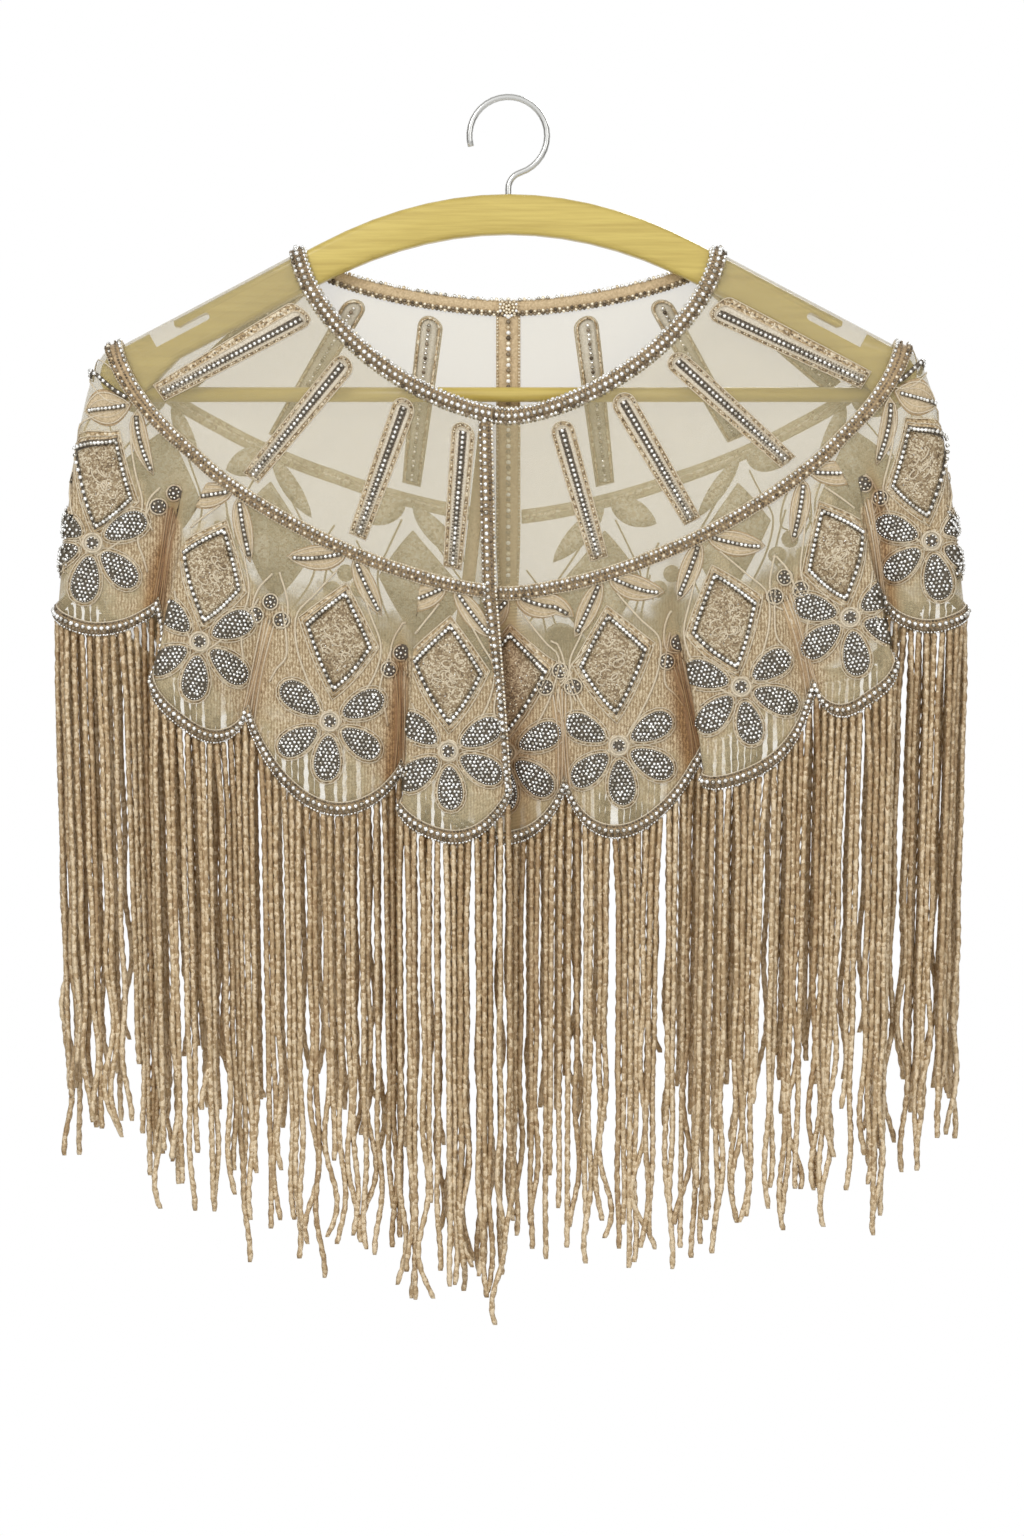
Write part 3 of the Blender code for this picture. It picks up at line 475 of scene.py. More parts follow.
GROUND_ROWS = (1.02, 1.06, 1.18, 1.30, 1.42, 1.66, 1.76, 1.95)       # down the skirt
GROUND_AT_MIDDLE = (0.0, 0.44, 0.56, 0.76, 0.90, 0.90, 0.58, 0.46)   # how closely it is stitched
GROUND_AT_VALLEY = (0.0, 0.16, 0.00, 0.14, 0.76, 0.94, 0.80, 0.70)
BACK_ROWS, BACK_SHARE = (1.40, 1.70), (0.45, 1.0)
# Painted shade in the valleys between scallops, how dark and how wide; below, where it starts and deepens,
# and the brown that painted shade multiplies into a colour.
VALLEY_SHADE, VALLEY_WIDTH = 0.45, 0.09
VALLEY_STARTS, VALLEY_DEEPENS = 1.55, 0.2        # where down the skirt, and within how much
PAINTED_SHADE_BROWN = (0.50, 0.345, 0.20)


def stitched_ground(half, at, down):
    """How closely the net is covered with tan stitching: not in the yoke, least under its band, and
    more thinly on the back."""
    valley = (2 * np.abs(at - np.floor(at) - 0.5)) ** 1.5
    middle = np.interp(down, GROUND_ROWS, GROUND_AT_MIDDLE)
    work = middle + (np.interp(down, GROUND_ROWS, GROUND_AT_VALLEY) - middle) * valley
    return work * np.where(at > half.ridge, np.interp(down, BACK_ROWS, BACK_SHARE), 1.0)


def fold_shade(half, at, down):
    """How much painted shade the work gets: in the hollows beside the folds and in the valleys between
    scallops.
    """
    low = np.clip((down - VALLEY_STARTS) / VALLEY_DEEPENS, 0.0, 1.0)
    shade = VALLEY_SHADE * low * np.exp(-((at - np.round(at)) / VALLEY_WIDTH) ** 2)
    for fold in half.shades:
        shade = shade + (fold.depth * np.clip((down - fold.start) / FOLD_FADE, 0.0, 1.0)
                         * nearness(fold, at, down))
    return np.clip(shade, 0.0, 1.0)


def carried(tree, name):
    """A value that the mesh carries at each of its points."""
    return node(tree, "Attribute", attribute_name=name).outputs["Fac"]


def with_painted_shade(tree, colour, name):
    """The colour with painted shade: multiplied towards a shade brown where the mesh says so."""
    mixed = node(tree, "Mix", data_type="RGBA", blend_type="MULTIPLY")
    mixed.inputs[7].default_value = (*PAINTED_SHADE_BROWN, 1.0)
    link(tree, carried(tree, name), mixed.inputs[0])
    link(tree, colour, mixed.inputs[6])
    return mixed.outputs[2]


def net_finish(name, sheer_tones, stitch_tones):
    """Nude nylon net: see-through, with fine threads, tan stitching over it where "work" says, and painted
    shade where "shade" says.
    """
    material, tree, shader = plain_material(name, (0.52, 0.41, 0.25), 0.75)
    threads = [laid(tree, "Wave", "UV", wave_type="BANDS", bands_direction=way, Scale=160.0,
                    Distortion=0.6).outputs["Fac"] for way in ("X", "Y")]
    sheer = coloured_by(tree, worked_out(tree, "MAXIMUM", *threads), tuple(zip((0.2, 0.95), sheer_tones)))
    curls = laid(tree, "Wave", wave_type="BANDS", bands_direction="X", Scale=190.0, Distortion=5.0,
                 Detail=3.0, Detail_Scale=2.2).outputs["Fac"]
    knots = laid(tree, "Noise", Scale=640.0, Detail=4.0, Roughness=0.8).outputs["Fac"]
    relief = worked_out(tree, "MULTIPLY_ADD", curls, 0.17, knots)
    stitches = coloured_by(tree, relief, tuple(zip((0.42, 0.58, 0.74), stitch_tones)))
    drift = laid(tree, "Noise", Scale=75.0, Detail=4.0, Roughness=0.65).outputs["Fac"]
    dense = worked_out(tree, "MULTIPLY_ADD", drift, 0.5, carried(tree, "work"))
    cover = ranged(tree, dense, interpolation_type="SMOOTHSTEP", From_Min=0.70, From_Max=0.96)
    mixed = node(tree, "Mix", data_type="RGBA")
    link(tree, cover, mixed.inputs[0])
    link(tree, sheer, mixed.inputs[6])
    link(tree, stitches, mixed.inputs[7])
    # Painted shade: the colour is multiplied towards brown, and the net made less see-through, where "shade"
    # says.
    link(tree, with_painted_shade(tree, mixed.outputs[2], "shade"), shader.inputs["Base Color"])
    body = ranged(tree, cover, To_Min=0.225, To_Max=0.80)
    closed = worked_out(tree, "MULTIPLY_ADD", carried(tree, "shade"), 0.55, body, use_clamp=True)
    link(tree, closed, shader.inputs["Alpha"])
    raised_by(tree, shader, relief, 0.0005, 0.7)
    shader.inputs["Sheen Weight"].default_value = 0.2
    return material


def hung_net(half, materials):
    """One half of the net: a grid laid on the cloth's rule and given its thickness and wrong side."""
    bpy.ops.mesh.primitive_grid_add(x_subdivisions=int(COLUMNS_PER_SCALLOP * half.back_edge),
                                    y_subdivisions=NET_ROWS, size=1.0)
    sheet = bpy.context.object
    sheet.name = f"net_{half.name}_cloth"
    flat = np.empty(len(sheet.data.vertices) * 3)
    sheet.data.vertices.foreach_get("co", flat)
    shares = flat.reshape(-1, 3)[:, :2] + 0.5
    wide = half.back_edge - NET_AT_BACK - NET_AT_FRONT
    at = NET_AT_FRONT + wide * shares[:, 0]
    down = NET_TOP + (NET_FOOT - NET_TOP) * shares[:, 1]
    places, _ = cloth(half, at, down)
    sheet.data.vertices.foreach_set("co", places.ravel())
    for name, values in (("work", stitched_ground(half, at, down)), ("shade", fold_shade(half, at, down))):
        sheet.data.attributes.new(name, "FLOAT", "POINT").data.foreach_set("value", values)
    marks = np.empty(len(sheet.data.uv_layers[0].data) * 2)
    sheet.data.uv_layers[0].data.foreach_get("uv", marks)
    metres = marks.reshape(-1, 2) * (float(across_metres(half, half.ridge, MID_SKIRT)) * wide, NET_FALL)
    sheet.data.uv_layers[0].data.foreach_set("uv", metres.ravel())
    sheet.data.update()
    if half.side > 0:
        bpy.ops.object.mode_set(mode="EDIT")
        bpy.ops.mesh.select_all(action="SELECT")
        bpy.ops.mesh.flip_normals()
        bpy.ops.object.mode_set(mode="OBJECT")
    wall = sheet.modifiers.new("wall", "SOLIDIFY")
    wall.thickness = NET_THICK
    wall.offset = 0.0
    wall.material_offset = 1
    for material in materials:
        sheet.data.materials.append(material)
    bpy.ops.object.modifier_apply(modifier="wall")
    bpy.ops.object.shade_smooth()
    bpy.ops.object.select_all(action="DESELECT")
    return sheet


# The net's right side, and its copy for the faces inside the cape, with a darker sheer and stitching painted
# lighter to make up for the shade inside.
net_right_side = net_finish("sheer_nude_net", ((0.55, 0.470, 0.270), (0.76, 0.655, 0.400)),
                            ((0.25, 0.165, 0.080), (0.46, 0.340, 0.190), (0.78, 0.660, 0.46)))
net_wrong_side = net_finish("net_wrong_side", ((0.34, 0.290, 0.170), (0.46, 0.400, 0.245)),
                            ((0.50, 0.380, 0.220), (0.74, 0.600, 0.390), (0.92, 0.820, 0.64)))
for half in HALVES:
    net = hung_net(half, (net_right_side, net_wrong_side))
    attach(net, "root")
    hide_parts(f"net_{half.name}")


# ---- The neck binding -----------------------------------------------------------------------------
# A strip of tan satin folded over the net's neck edge, with a cord of pale silk along its foot.
# Five rows of beads lie on its right side, silver between smoke, and three on its wrong side.
NECK_BAND, NECK_STEPS = 0.0074, 24      # its width, and the places worked out for each scallop
BAND_THICK = 0.0024
BAND_SIDES = 8
PIPING_SIDES = 6
PIPING, NECK_PIPING_LIFT = 0.00045, 0.0009
Row = namedtuple("Row", "offset lift radius pitch mark")     # a row of beads beside its line
SILVER, SMOKE, CHAMPAGNE, PEARL = 0, 1, 2, 3
SATIN, CORD, GROUND, LINING, WORKED_BACK_PAINTED_LIGHT = 0, 1, 2, 3, 4
luck = np.random.default_rng(7)


class Work:
    """Many small shapes gathered into one mesh."""

    def __init__(self):
        self.points, self.loops, self.sizes, self.marks, self.tones = [], [], [], [], []
        self.count = 0

    def add(self, points, faces, mark=0, tone=0.0):
        """Points in rows of three, faces in rows of corners; a tone for each shape or each point, which on
        the stitched cloth is its painted fold shade.
        """
        points = np.asarray(points, float).reshape(-1, 3)
        self.points.append(points)
        self.tones.append(np.broadcast_to(tone, (len(points),)))
        self.count += len(points)
        self.face(faces, mark, len(points))

    def face(self, faces, mark, last):
        """Faces between the last so many points, with one mark or one for each face."""
        faces = np.asarray(faces)
        self.loops.append((faces + self.count - last).ravel())
        self.sizes.append(np.full(len(faces), faces.shape[1]))
        self.marks.append(np.full(len(faces), mark))

    def piece(self, name, materials, slot):
        mesh = bpy.data.meshes.new(name)
        points, loops = np.concatenate(self.points), np.concatenate(self.loops)
        sizes = np.concatenate(self.sizes)
        mesh.vertices.add(len(points))
        mesh.vertices.foreach_set("co", points.ravel())
        mesh.loops.add(len(loops))
        mesh.loops.foreach_set("vertex_index", loops.astype(np.int32))
        mesh.polygons.add(len(sizes))
        mesh.polygons.foreach_set("loop_start", (np.cumsum(sizes) - sizes).astype(np.int32))
        mesh.polygons.foreach_set("material_index", np.concatenate(self.marks).astype(np.int32))
        mesh.polygons.foreach_set("use_smooth", np.full(len(sizes), True))
        tone = mesh.attributes.new("tone", "FLOAT", "POINT")
        tone.data.foreach_set("value", np.concatenate(self.tones))
        mesh.update(calc_edges=True)
        mesh.validate()
        for material in materials:
            mesh.materials.append(material)
        made = bpy.data.objects.new(name, mesh)
        bpy.context.scene.collection.objects.link(made)
        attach(made, "root")
        return made


def tube_faces(rings, sides):
    """Quads of an open tube of rings."""
    r, s = np.meshgrid(np.arange(rings - 1), np.arange(sides), indexing="ij")
    a, b = r * sides + s, r * sides + (s + 1) % sides
    return np.stack((a, b, b + sides, a + sides), axis=-1).reshape(-1, 4)


def end_fans(rings, sides):
    """Triangles that close a tube at its first ring and its last, round two points more."""
    turn, last = np.arange(sides), (rings - 1) * sides
    after = (turn + 1) % sides
    return np.concatenate((np.stack((np.full(sides, rings * sides), after, turn), axis=-1),
                           np.stack((np.full(sides, rings * sides + 1), last + turn, last + after), axis=-1)))


def closed_tube(work, rings, mark=0, tone=0.0, side_marks=None):
    """A tube through rings of points (rings, sides, 3), closed by a point at each end."""
    count, sides = rings.shape[:2]
    middles = rings.mean(axis=1)
    points = np.concatenate((rings.reshape(-1, 3), middles[:1], middles[-1:]))
    marks = mark if side_marks is None else np.tile(side_marks, count - 1)
    work.add(points, tube_faces(count, sides), marks, tone)
    work.face(end_fans(count, sides), mark, len(points))


def band_section(width, thick, way, mark, lined):
    """A binding's rounded section: how far across and how high its corners lie, and its sides'
    marks.  Its under side is lined."""
    turn = np.arange(BAND_SIDES) * 2 * math.pi / BAND_SIDES * way
    rise = thick / 2 * signed_power(np.sin(turn), 0.75)
    under = rise + np.roll(rise, -1) < 0
    return width / 2 * signed_power(np.cos(turn), 0.55), rise, np.where(under, lined, mark)


def banded(work, half, at, down, width, thick, across_at=False, mark=SATIN, lined=LINING, lift=0.0):
    """A rounded binding along a line on the cloth; it lies across "at" on a front edge, or down."""
    across, rise, marks = band_section(width, thick, half.side * (-1 if across_at else 1), mark, lined)
    at, down = np.broadcast_arrays(at, down)
    ats, downs = np.repeat(at[:, None], BAND_SIDES, axis=1), np.repeat(down[:, None], BAND_SIDES, axis=1)
    if across_at:
        ats = ats + across / across_metres(half, at, down)[:, None]
    else:
        downs = downs + across / fall_metres(half, at, down)[:, None]
    closed_tube(work, cloth(half, ats, downs, lift + rise[None, :])[0], side_marks=marks)


def piping(work, points, radius, mark, sides=PIPING_SIDES, tone=None):
    """A round cord through points, with a tone for each of them, which on couched cords is their painted fold
    shade.
    """
    along = unit(np.gradient(points, axis=0))
    side = unit(np.cross(along, np.array((0.31, -0.87, 0.38))))      # any way that no cord runs along
    up = np.cross(along, side)
    turn = np.arange(sides) * 2 * math.pi / sides
    rings = (points[:, None, :] + radius * (np.cos(turn)[None, :, None] * side[:, None, :]
                                            + np.sin(turn)[None, :, None] * up[:, None, :]))
    if tone is None:
        tone = np.zeros(len(points))
    closed_tube(work, rings, mark, np.concatenate((np.repeat(tone, sides), tone[:1], tone[-1:])))


def round_bead():
    """A bead of radius 1 with twenty facets, as points and faces."""
    bpy.ops.mesh.primitive_ico_sphere_add(subdivisions=1, radius=1.0)
    bead = bpy.context.object
    points = np.array([tuple(v.co) for v in bead.data.vertices])
    faces = np.array([tuple(p.vertices) for p in bead.data.polygons])
    bpy.data.objects.remove(bead, do_unlink=True)
    return points, faces


def cut_bead():
    """A bead of radius 1 with eight facets."""
    points = [(1, 0, 0), (0, 1, 0), (-1, 0, 0), (0, -1, 0), (0, 0, 1), (0, 0, -1)]
    upper = [(k, (k + 1) % 4, 4) for k in range(4)]
    lower = [((k + 1) % 4, k, 5) for k in range(4)]
    return np.array(points, float), np.array(upper + lower)


SMALL_BEAD = 0.00084        # up to this radius a bead has eight facets
BEAD_LEAST, BEAD_MOST = 0.93, 1.05
LARGE_MODEL, SMALL_MODEL = round_bead(), cut_bead()


def sew_beads(work, places, radius, mark):
    """Faceted beads at places, each turned its own way and a little uneven in size."""
    count = len(places)
    if not count:
        return
    turn = unit(luck.normal(size=(count, 4)))
    w, x, y, z = turn.T
    matrix = np.stack((
        np.stack((1 - 2 * (y * y + z * z), 2 * (x * y - z * w), 2 * (x * z + y * w)), -1),
        np.stack((2 * (x * y + z * w), 1 - 2 * (x * x + z * z), 2 * (y * z - x * w)), -1),
        np.stack((2 * (x * z - y * w), 2 * (y * z + x * w), 1 - 2 * (x * x + y * y)), -1)), -2)
    size = radius * luck.uniform(BEAD_LEAST, BEAD_MOST, count)
    points, faces = SMALL_MODEL if radius <= SMALL_BEAD else LARGE_MODEL
    shaped = np.einsum("nij,kj->nki", matrix, points) * size[:, None, None] + places[:, None, :]
    faces = (np.arange(count) * len(points))[:, None, None] + faces[None, :, :]
    tones = np.repeat(luck.uniform(0.0, 1.0, count), len(points))
    work.add(shaped.reshape(-1, 3), faces.reshape(-1, 3), mark, tones)


def in_turn(work, places, radius, marks):
    """Beads of several kinds sewn one after another along a row."""
    marks = marks if isinstance(marks, tuple) else (marks,)
    for k, mark in enumerate(marks):
        sew_beads(work, places[k::len(marks)], radius, mark)


def evenly(points, pitch):
    """Shares along a line of points, a pitch apart, and half a pitch in from its ends."""
    steps = np.linalg.norm(np.diff(points, axis=0), axis=1)
    far = np.concatenate(((0.0,), np.cumsum(steps)))
    count = max(1, int(round(far[-1] / pitch)))
    wanted = (np.arange(count) + 0.5) * far[-1] / count
    return np.interp(wanted, far, np.linspace(0.0, 1.0, len(points)))


def picked(shares, values):
    """Values at shares of the way along a line."""
    return np.interp(shares, np.linspace(0.0, 1.0, len(values)), values)


def bead_row(work, half, at, down, row, across_at=False):
    """One row of beads beside a line on the cloth."""
    at, down = np.broadcast_arrays(at, down)
    if across_at:
        at = at + row.offset / across_metres(half, at, down)
    else:
        down = down + row.offset / fall_metres(half, at, down)
    at = np.clip(at, 0.0, half.back_edge)
    shares = evenly(cloth(half, at, down, row.lift)[0], row.pitch)
    places, _ = cloth(half, picked(shares, at), picked(shares, down), row.lift)
    in_turn(work, places, row.radius, row.mark)


def grained(tree, scale):
    """Grains a bead wide: a tone of each one's own, and the height of its mound."""
    grains = laid(tree, "Voronoi", feature="F1", Scale=scale)
    own = node(tree, "SeparateColor")
    link(tree, grains.outputs["Color"], own.inputs[0])
    return own.outputs[0], worked_out(tree, "SUBTRACT", 1.0, grains.outputs["Distance"])


def speckled(name, stops, cell, roughness, metallic, bump):
    """A crust of tiny beads and stitches: cells of mixed tone, each a small mound."""
    material, tree, shader = plain_material(name, stops[-1][1], roughness, metallic)
    own, mound = grained(tree, 1.0 / cell)
    patches = laid(tree, "Noise", Scale=90.0, Detail=2.0).outputs["Fac"]
    mixed = worked_out(tree, "MULTIPLY_ADD", patches, 0.55, worked_out(tree, "MULTIPLY", own, 0.72))
    # Painted shade: the colour is browned where the mesh's tone holds the fold shade.
    link(tree, with_painted_shade(tree, coloured_by(tree, mixed, stops), "tone"), shader.inputs["Base Color"])
    raised_by(tree, shader, mound, bump, 0.9)
    return material


def threaded(name, dark, light, scale, roughness, sheen):
    """Satin or cord: fine streaks of thread between two tones."""
    material, tree, shader = plain_material(name, light, roughness)
    streaks = laid(tree, "Noise", Scale=scale, Detail=4.0, Roughness=0.7).outputs["Fac"]
    colour = coloured_by(tree, streaks, ((0.32, dark), (0.66, light)))
    # Painted shade: the colour is browned where the mesh's tone holds the fold shade.
    link(tree, with_painted_shade(tree, colour, "tone"), shader.inputs["Base Color"])
    raised_by(tree, shader, streaks, 0.0003, 0.6)
    shader.inputs["Sheen Weight"].default_value = sheen
    return material


def beaded(name, dark, light, roughness, metallic):
    """Glass beads with a foil lining: each its own tone, read from the mesh."""
    material, tree, shader = plain_material(name, light, roughness, metallic)
    colour = coloured_by(tree, carried(tree, "tone"), ((0.0, dark), (0.6, light)))
    link(tree, colour, shader.inputs["Base Color"])
    haze = node(tree, "TexNoise", Scale=1400.0, Detail=2.0).outputs["Fac"]
    gloss = ranged(tree, haze, To_Min=roughness * 0.6, To_Max=roughness * 1.5)
    link(tree, gloss, shader.inputs["Roughness"])
    return material


# The stitching's wrong side: its own pale colour, painted lighter still to make up for the shade inside the
# cape where it is seen.
wrong_side = speckled("wrong_side", ((0.16, (0.36, 0.27, 0.165)), (0.45, (0.77, 0.655, 0.47)),
                                     (0.90, (1.0, 0.96, 0.83))), 0.0011, 0.6, 0.0, 0.0003)
silver_bead = beaded("silver_bead", (0.44, 0.41, 0.35), (1.0, 1.0, 0.98), 0.20, 0.90)
smoke_bead = beaded("smoke_bead", (0.085, 0.060, 0.036), (0.30, 0.235, 0.160), 0.30, 0.35)
champagne_bead = beaded("champagne_bead", (0.50, 0.38, 0.22), (0.95, 0.86, 0.68), 0.28, 0.45)
pearl_bead = beaded("pearl_bead", (0.86, 0.84, 0.78), (1.0, 1.0, 0.99), 0.22, 0.0)
BEADS = (silver_bead, smoke_bead, champagne_bead, pearl_bead)
tan_satin = threaded("tan_satin", (0.30, 0.195, 0.092), (0.60, 0.44, 0.25), 700.0, 0.5, 0.2)
pale_cord = threaded("pale_silk_cord", (0.50, 0.40, 0.26), (0.78, 0.69, 0.53), 1500.0, 0.5, 0.1)
dark_ground = threaded("dark_ground", (0.060, 0.046, 0.030), (0.155, 0.125, 0.088), 900.0, 0.6, 0.0)
lining = threaded("silk_lining", (0.405, 0.285, 0.150), (0.67, 0.520, 0.315), 800.0, 0.6, 0.1)
CLOTHS = (tan_satin, pale_cord, dark_ground, lining, wrong_side)

NECK_ROWS = (
    Row(-0.0035, 0.0010, 0.00110, 0.00230, SILVER),
    Row(-0.0019, 0.0019, 0.00066, 0.00165, SMOKE),
    Row(0.0000, 0.0025, 0.00160, 0.00340, SILVER),
    Row(0.0019, 0.0019, 0.00066, 0.00165, SMOKE),
    Row(0.0033, 0.0015, 0.00122, 0.00250, (SILVER, SILVER, SMOKE)),
    Row(-0.0042, -0.0010, 0.00120, 0.00250, (SILVER, CHAMPAGNE, SILVER, PEARL)),
    Row(0.0024, -0.0018, 0.00105, 0.00220, (SMOKE, CHAMPAGNE)),
    Row(0.0040, -0.0014, 0.00105, 0.00220, (SMOKE, SMOKE, CHAMPAGNE)),
)
neck_work, neck_beads = Work(), Work()
for half in HALVES:
    at = np.linspace(0.0, half.back_edge, int(NECK_STEPS * half.back_edge))
    banded(neck_work, half, at, 0.0, NECK_BAND, BAND_THICK)
    foot = NECK_BAND / 2 / fall_metres(half, at, 0.0)
    piping(neck_work, cloth(half, at, foot, NECK_PIPING_LIFT)[0], PIPING, CORD)
    for row in NECK_ROWS:
        bead_row(neck_beads, half, at, 0.0, row)
neck_binding = neck_work.piece("neck_binding", CLOTHS, "bead_band")
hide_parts("neck_band_left", "neck_band_right")
neck_beads.piece("neck_binding_beads", BEADS, "bead_band")


# ---- The yoke band --------------------------------------------------------------------------------
# A narrow worked strip laid on the net round the shoulders, where the fullness starts.  Silver
# beads run along its upper half, mixed smoke and champagne ones below, between two pale cords.
YOKE_BAND, YOKE_THICK, YOKE_STEPS = 0.0069, 0.0020, 30
YOKE_LIFT = 0.0011
YOKE_PIPING, YOKE_PIPING_LIFT = 0.00040, 0.0014
YOKE_FROM, YOKE_SHORT = 0.12, 0.11      # what its ends leave free at the front edge and the back
YOKE_ROWS = (
    Row(-0.0032, 0.0020, 0.00070, 0.00160, CHAMPAGNE),
    Row(-0.0016, 0.0027, 0.00130, 0.00275, SILVER),
    Row(0.0002, 0.0024, 0.00078, 0.00175, SMOKE),
    Row(0.0017, 0.0025, 0.00105, 0.00220, (SILVER, SMOKE, CHAMPAGNE, SMOKE)),
    Row(0.0031, 0.0019, 0.00070, 0.00165, SMOKE),
)
yoke_work, yoke_beads = Work(), Work()
for half in HALVES:
    at = np.linspace(YOKE_FROM, half.back_edge - YOKE_SHORT, int(YOKE_STEPS * half.back_edge))
    banded(yoke_work, half, at, 1.0, YOKE_BAND, YOKE_THICK, lift=YOKE_LIFT, lined=WORKED_BACK_PAINTED_LIGHT)
    for side in (-1, 1):
        edge = 1.0 + side * YOKE_BAND / 2 / fall_metres(half, at, 1.0)
        piping(yoke_work, cloth(half, at, edge, YOKE_PIPING_LIFT)[0], YOKE_PIPING, CORD)
    for row in YOKE_ROWS:
        bead_row(yoke_beads, half, at, 1.0, row)
yoke_strip = yoke_work.piece("yoke_strip", CLOTHS, "bead_band")
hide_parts("yoke_band_left", "yoke_band_right")
yoke_beads.piece("yoke_strip_beads", BEADS, "bead_band")


# ---- The front edges --------------------------------------------------------------------------------
# Each front is bound with a strip and closed by nothing: the viewer's left front simply lies over
# the other.  Large silver beads run down it between rows of small ones; the covered one is plain.
EDGE_BAND = 0.0070
COVERED_THICK = 0.0012
STRIP_TOP, STRIP_FOOT = 0.03, 1.975      # where the strips that run down the cape start and end
EDGE_STEPS = 150
EDGE_ROWS = (
    Row(0.0003, 0.0013, 0.00095, 0.00205, (SILVER, CHAMPAGNE)),
    Row(0.0020, 0.0018, 0.00085, 0.00185, SMOKE),
    Row(0.0042, 0.0025, 0.00152, 0.00370, SILVER),
    Row(0.0063, 0.0017, 0.00095, 0.00205, (SMOKE, SILVER)),
)
edge_work, edge_beads = Work(), Work()
for half, thick, mark, rows in ((LEFT, BAND_THICK, SATIN, EDGE_ROWS), (RIGHT, COVERED_THICK, LINING, ())):
    down = np.linspace(STRIP_TOP, STRIP_FOOT, EDGE_STEPS)
    middle = EDGE_BAND / 2 / across_metres(half, 0.03, down)
    banded(edge_work, half, middle, down, EDGE_BAND, thick, across_at=True, mark=mark)
    for row in rows:
        bead_row(edge_beads, half, 0.0, down, row, across_at=True)
front_edges = edge_work.piece("front_edges", CLOTHS, "bead_band")
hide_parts("edge_band_left", "edge_band_right")
edge_beads.piece("front_edge_beads", BEADS, "bead_band")


# ---- The hem band -----------------------------------------------------------------------------------
# The scalloped foot of the net is bound with a satin strip that carries the fringe.  Its beads lie
# in four rows, the second one large, below one pale cord.
HEM_BAND, HEM_STEPS = 0.0066, 48
HEM_PIPING_LIFT = 0.0010
HEM_ROWS = (
    Row(-0.0026, 0.0016, 0.00082, 0.00180, SMOKE),
    Row(-0.0002, 0.0024, 0.00152, 0.00330, SILVER),
    Row(0.0020, 0.0019, 0.00095, 0.00205, SMOKE),
    Row(0.0034, 0.0010, 0.00085, 0.00185, SILVER),
)
hem_work, hem_beads = Work(), Work()


def hem_row(half, at, offset, lift):
    """Places below or above the hem's own line, also past the cloth's end."""
    line, out = cloth(half, at, 2.0)
    just_above = cloth_points(half, at, 1.97)
    return line + unit(line - just_above) * offset + out * lift


for half in HALVES:
    at = np.linspace(0.0, half.back_edge, int(HEM_STEPS * half.back_edge) + 1)
    across, rise, marks = band_section(HEM_BAND, BAND_THICK, half.side, SATIN, LINING)
    rings = np.stack([hem_row(half, at, a, r) for a, r in zip(across, rise)], axis=1)
    closed_tube(hem_work, rings, side_marks=marks)
    piping(hem_work, hem_row(half, at, -HEM_BAND / 2, HEM_PIPING_LIFT), PIPING, CORD)
    for row in HEM_ROWS:
        shares = evenly(hem_row(half, at, row.offset, row.lift), row.pitch)
        sewn = hem_row(half, picked(shares, at), row.offset, row.lift)
        sew_beads(hem_beads, sewn, row.radius, row.mark)
hem_binding = hem_work.piece("hem_binding", CLOTHS, "bead_band")
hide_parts("hem_band_left", "hem_band_right")
hem_beads.piece("hem_binding_beads", BEADS, "bead_band")


# ---- The centre back --------------------------------------------------------------------------------
# A satin strip joins the two halves from the neck to the hem, with silver beads down its right side,
# mixed ones down its wrong side and champagne ones at both edges.  A covered button closes it at the
# neck, with a round of small beads over its stitches inside.
PLACKET, PLACKET_THICK, PLACKET_STEPS = 0.0130, 0.0020, 110
PLACKET_ROWS = (        # beside the centre back; a row away from it is sewn on both halves
    Row(0.0, -0.0023, 0.00140, 0.00290, (PEARL, SMOKE, CHAMPAGNE)),
    Row(0.0, 0.0020, 0.00110, 0.00430, SILVER),
    Row(0.0058, 0.0014, 0.00075, 0.00180, CHAMPAGNE),
    Row(0.0058, -0.0014, 0.00075, 0.00180, CHAMPAGNE),
)
back_work, back_beads = Work(), Work()


def in_from_back(half, down, metres):
    """Places so many metres in from the centre back."""
    edge = cloth_points(half, half.back_edge, down)
    shares = np.full_like(down, 0.1 if metres else 0.0)
    for _ in range(4 if metres else 0):
        gone = np.linalg.norm(cloth_points(half, half.back_edge - shares, down) - edge, axis=-1)
        shares = shares * metres / gone
    return half.back_edge - shares


down = np.linspace(STRIP_TOP, STRIP_FOOT, PLACKET_STEPS)
strip = []
for half, shares in ((RIGHT, (1.0, 0.5)), (LEFT, (0.0, 0.5, 1.0))):
    for share in shares:
        strip.append((half, in_from_back(half, down, share * PLACKET / 2)))
outer = [cloth(half, at, down, PLACKET_THICK / 2)[0] for half, at in strip]
inner = [cloth(half, at, down, -PLACKET_THICK / 2)[0] for half, at in reversed(strip)]
closed_tube(back_work, np.stack(outer + inner, axis=1), side_marks=(SATIN,) * 5 + (LINING,) * 5)
for row in PLACKET_ROWS:
    for half in HALVES if row.offset else (LEFT,):
        at = in_from_back(half, down, row.offset)
        bead_row(back_beads, half, at, down, row._replace(offset=0.0), across_at=True)

ROUND_LIFT, ROUND_BEAD = -0.0030, 0.00088
ROUNDS = ((0.0046, 16, (CHAMPAGNE, PEARL)), (0.0029, 10, CHAMPAGNE), (0.0012, 5, CHAMPAGNE))
tied, facing = cloth(LEFT, LEFT.back_edge, 0.0, ROUND_LIFT)
upward = np.cross(facing, (1.0, 0.0, 0.0))
for radius, count, marks in ROUNDS:
    turns = 2 * math.pi * np.arange(count)[:, None] / count
    ring = tied + radius * (np.cos(turns) * (1.0, 0.0, 0.0) + np.sin(turns) * upward)
    in_turn(back_beads, ring, ROUND_BEAD, marks)
back_strip = back_work.piece("centre_back_strip", CLOTHS, "champagne_work")
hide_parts("centre_back_placket")
back_beads.piece("centre_back_beads", BEADS, "bead_band")

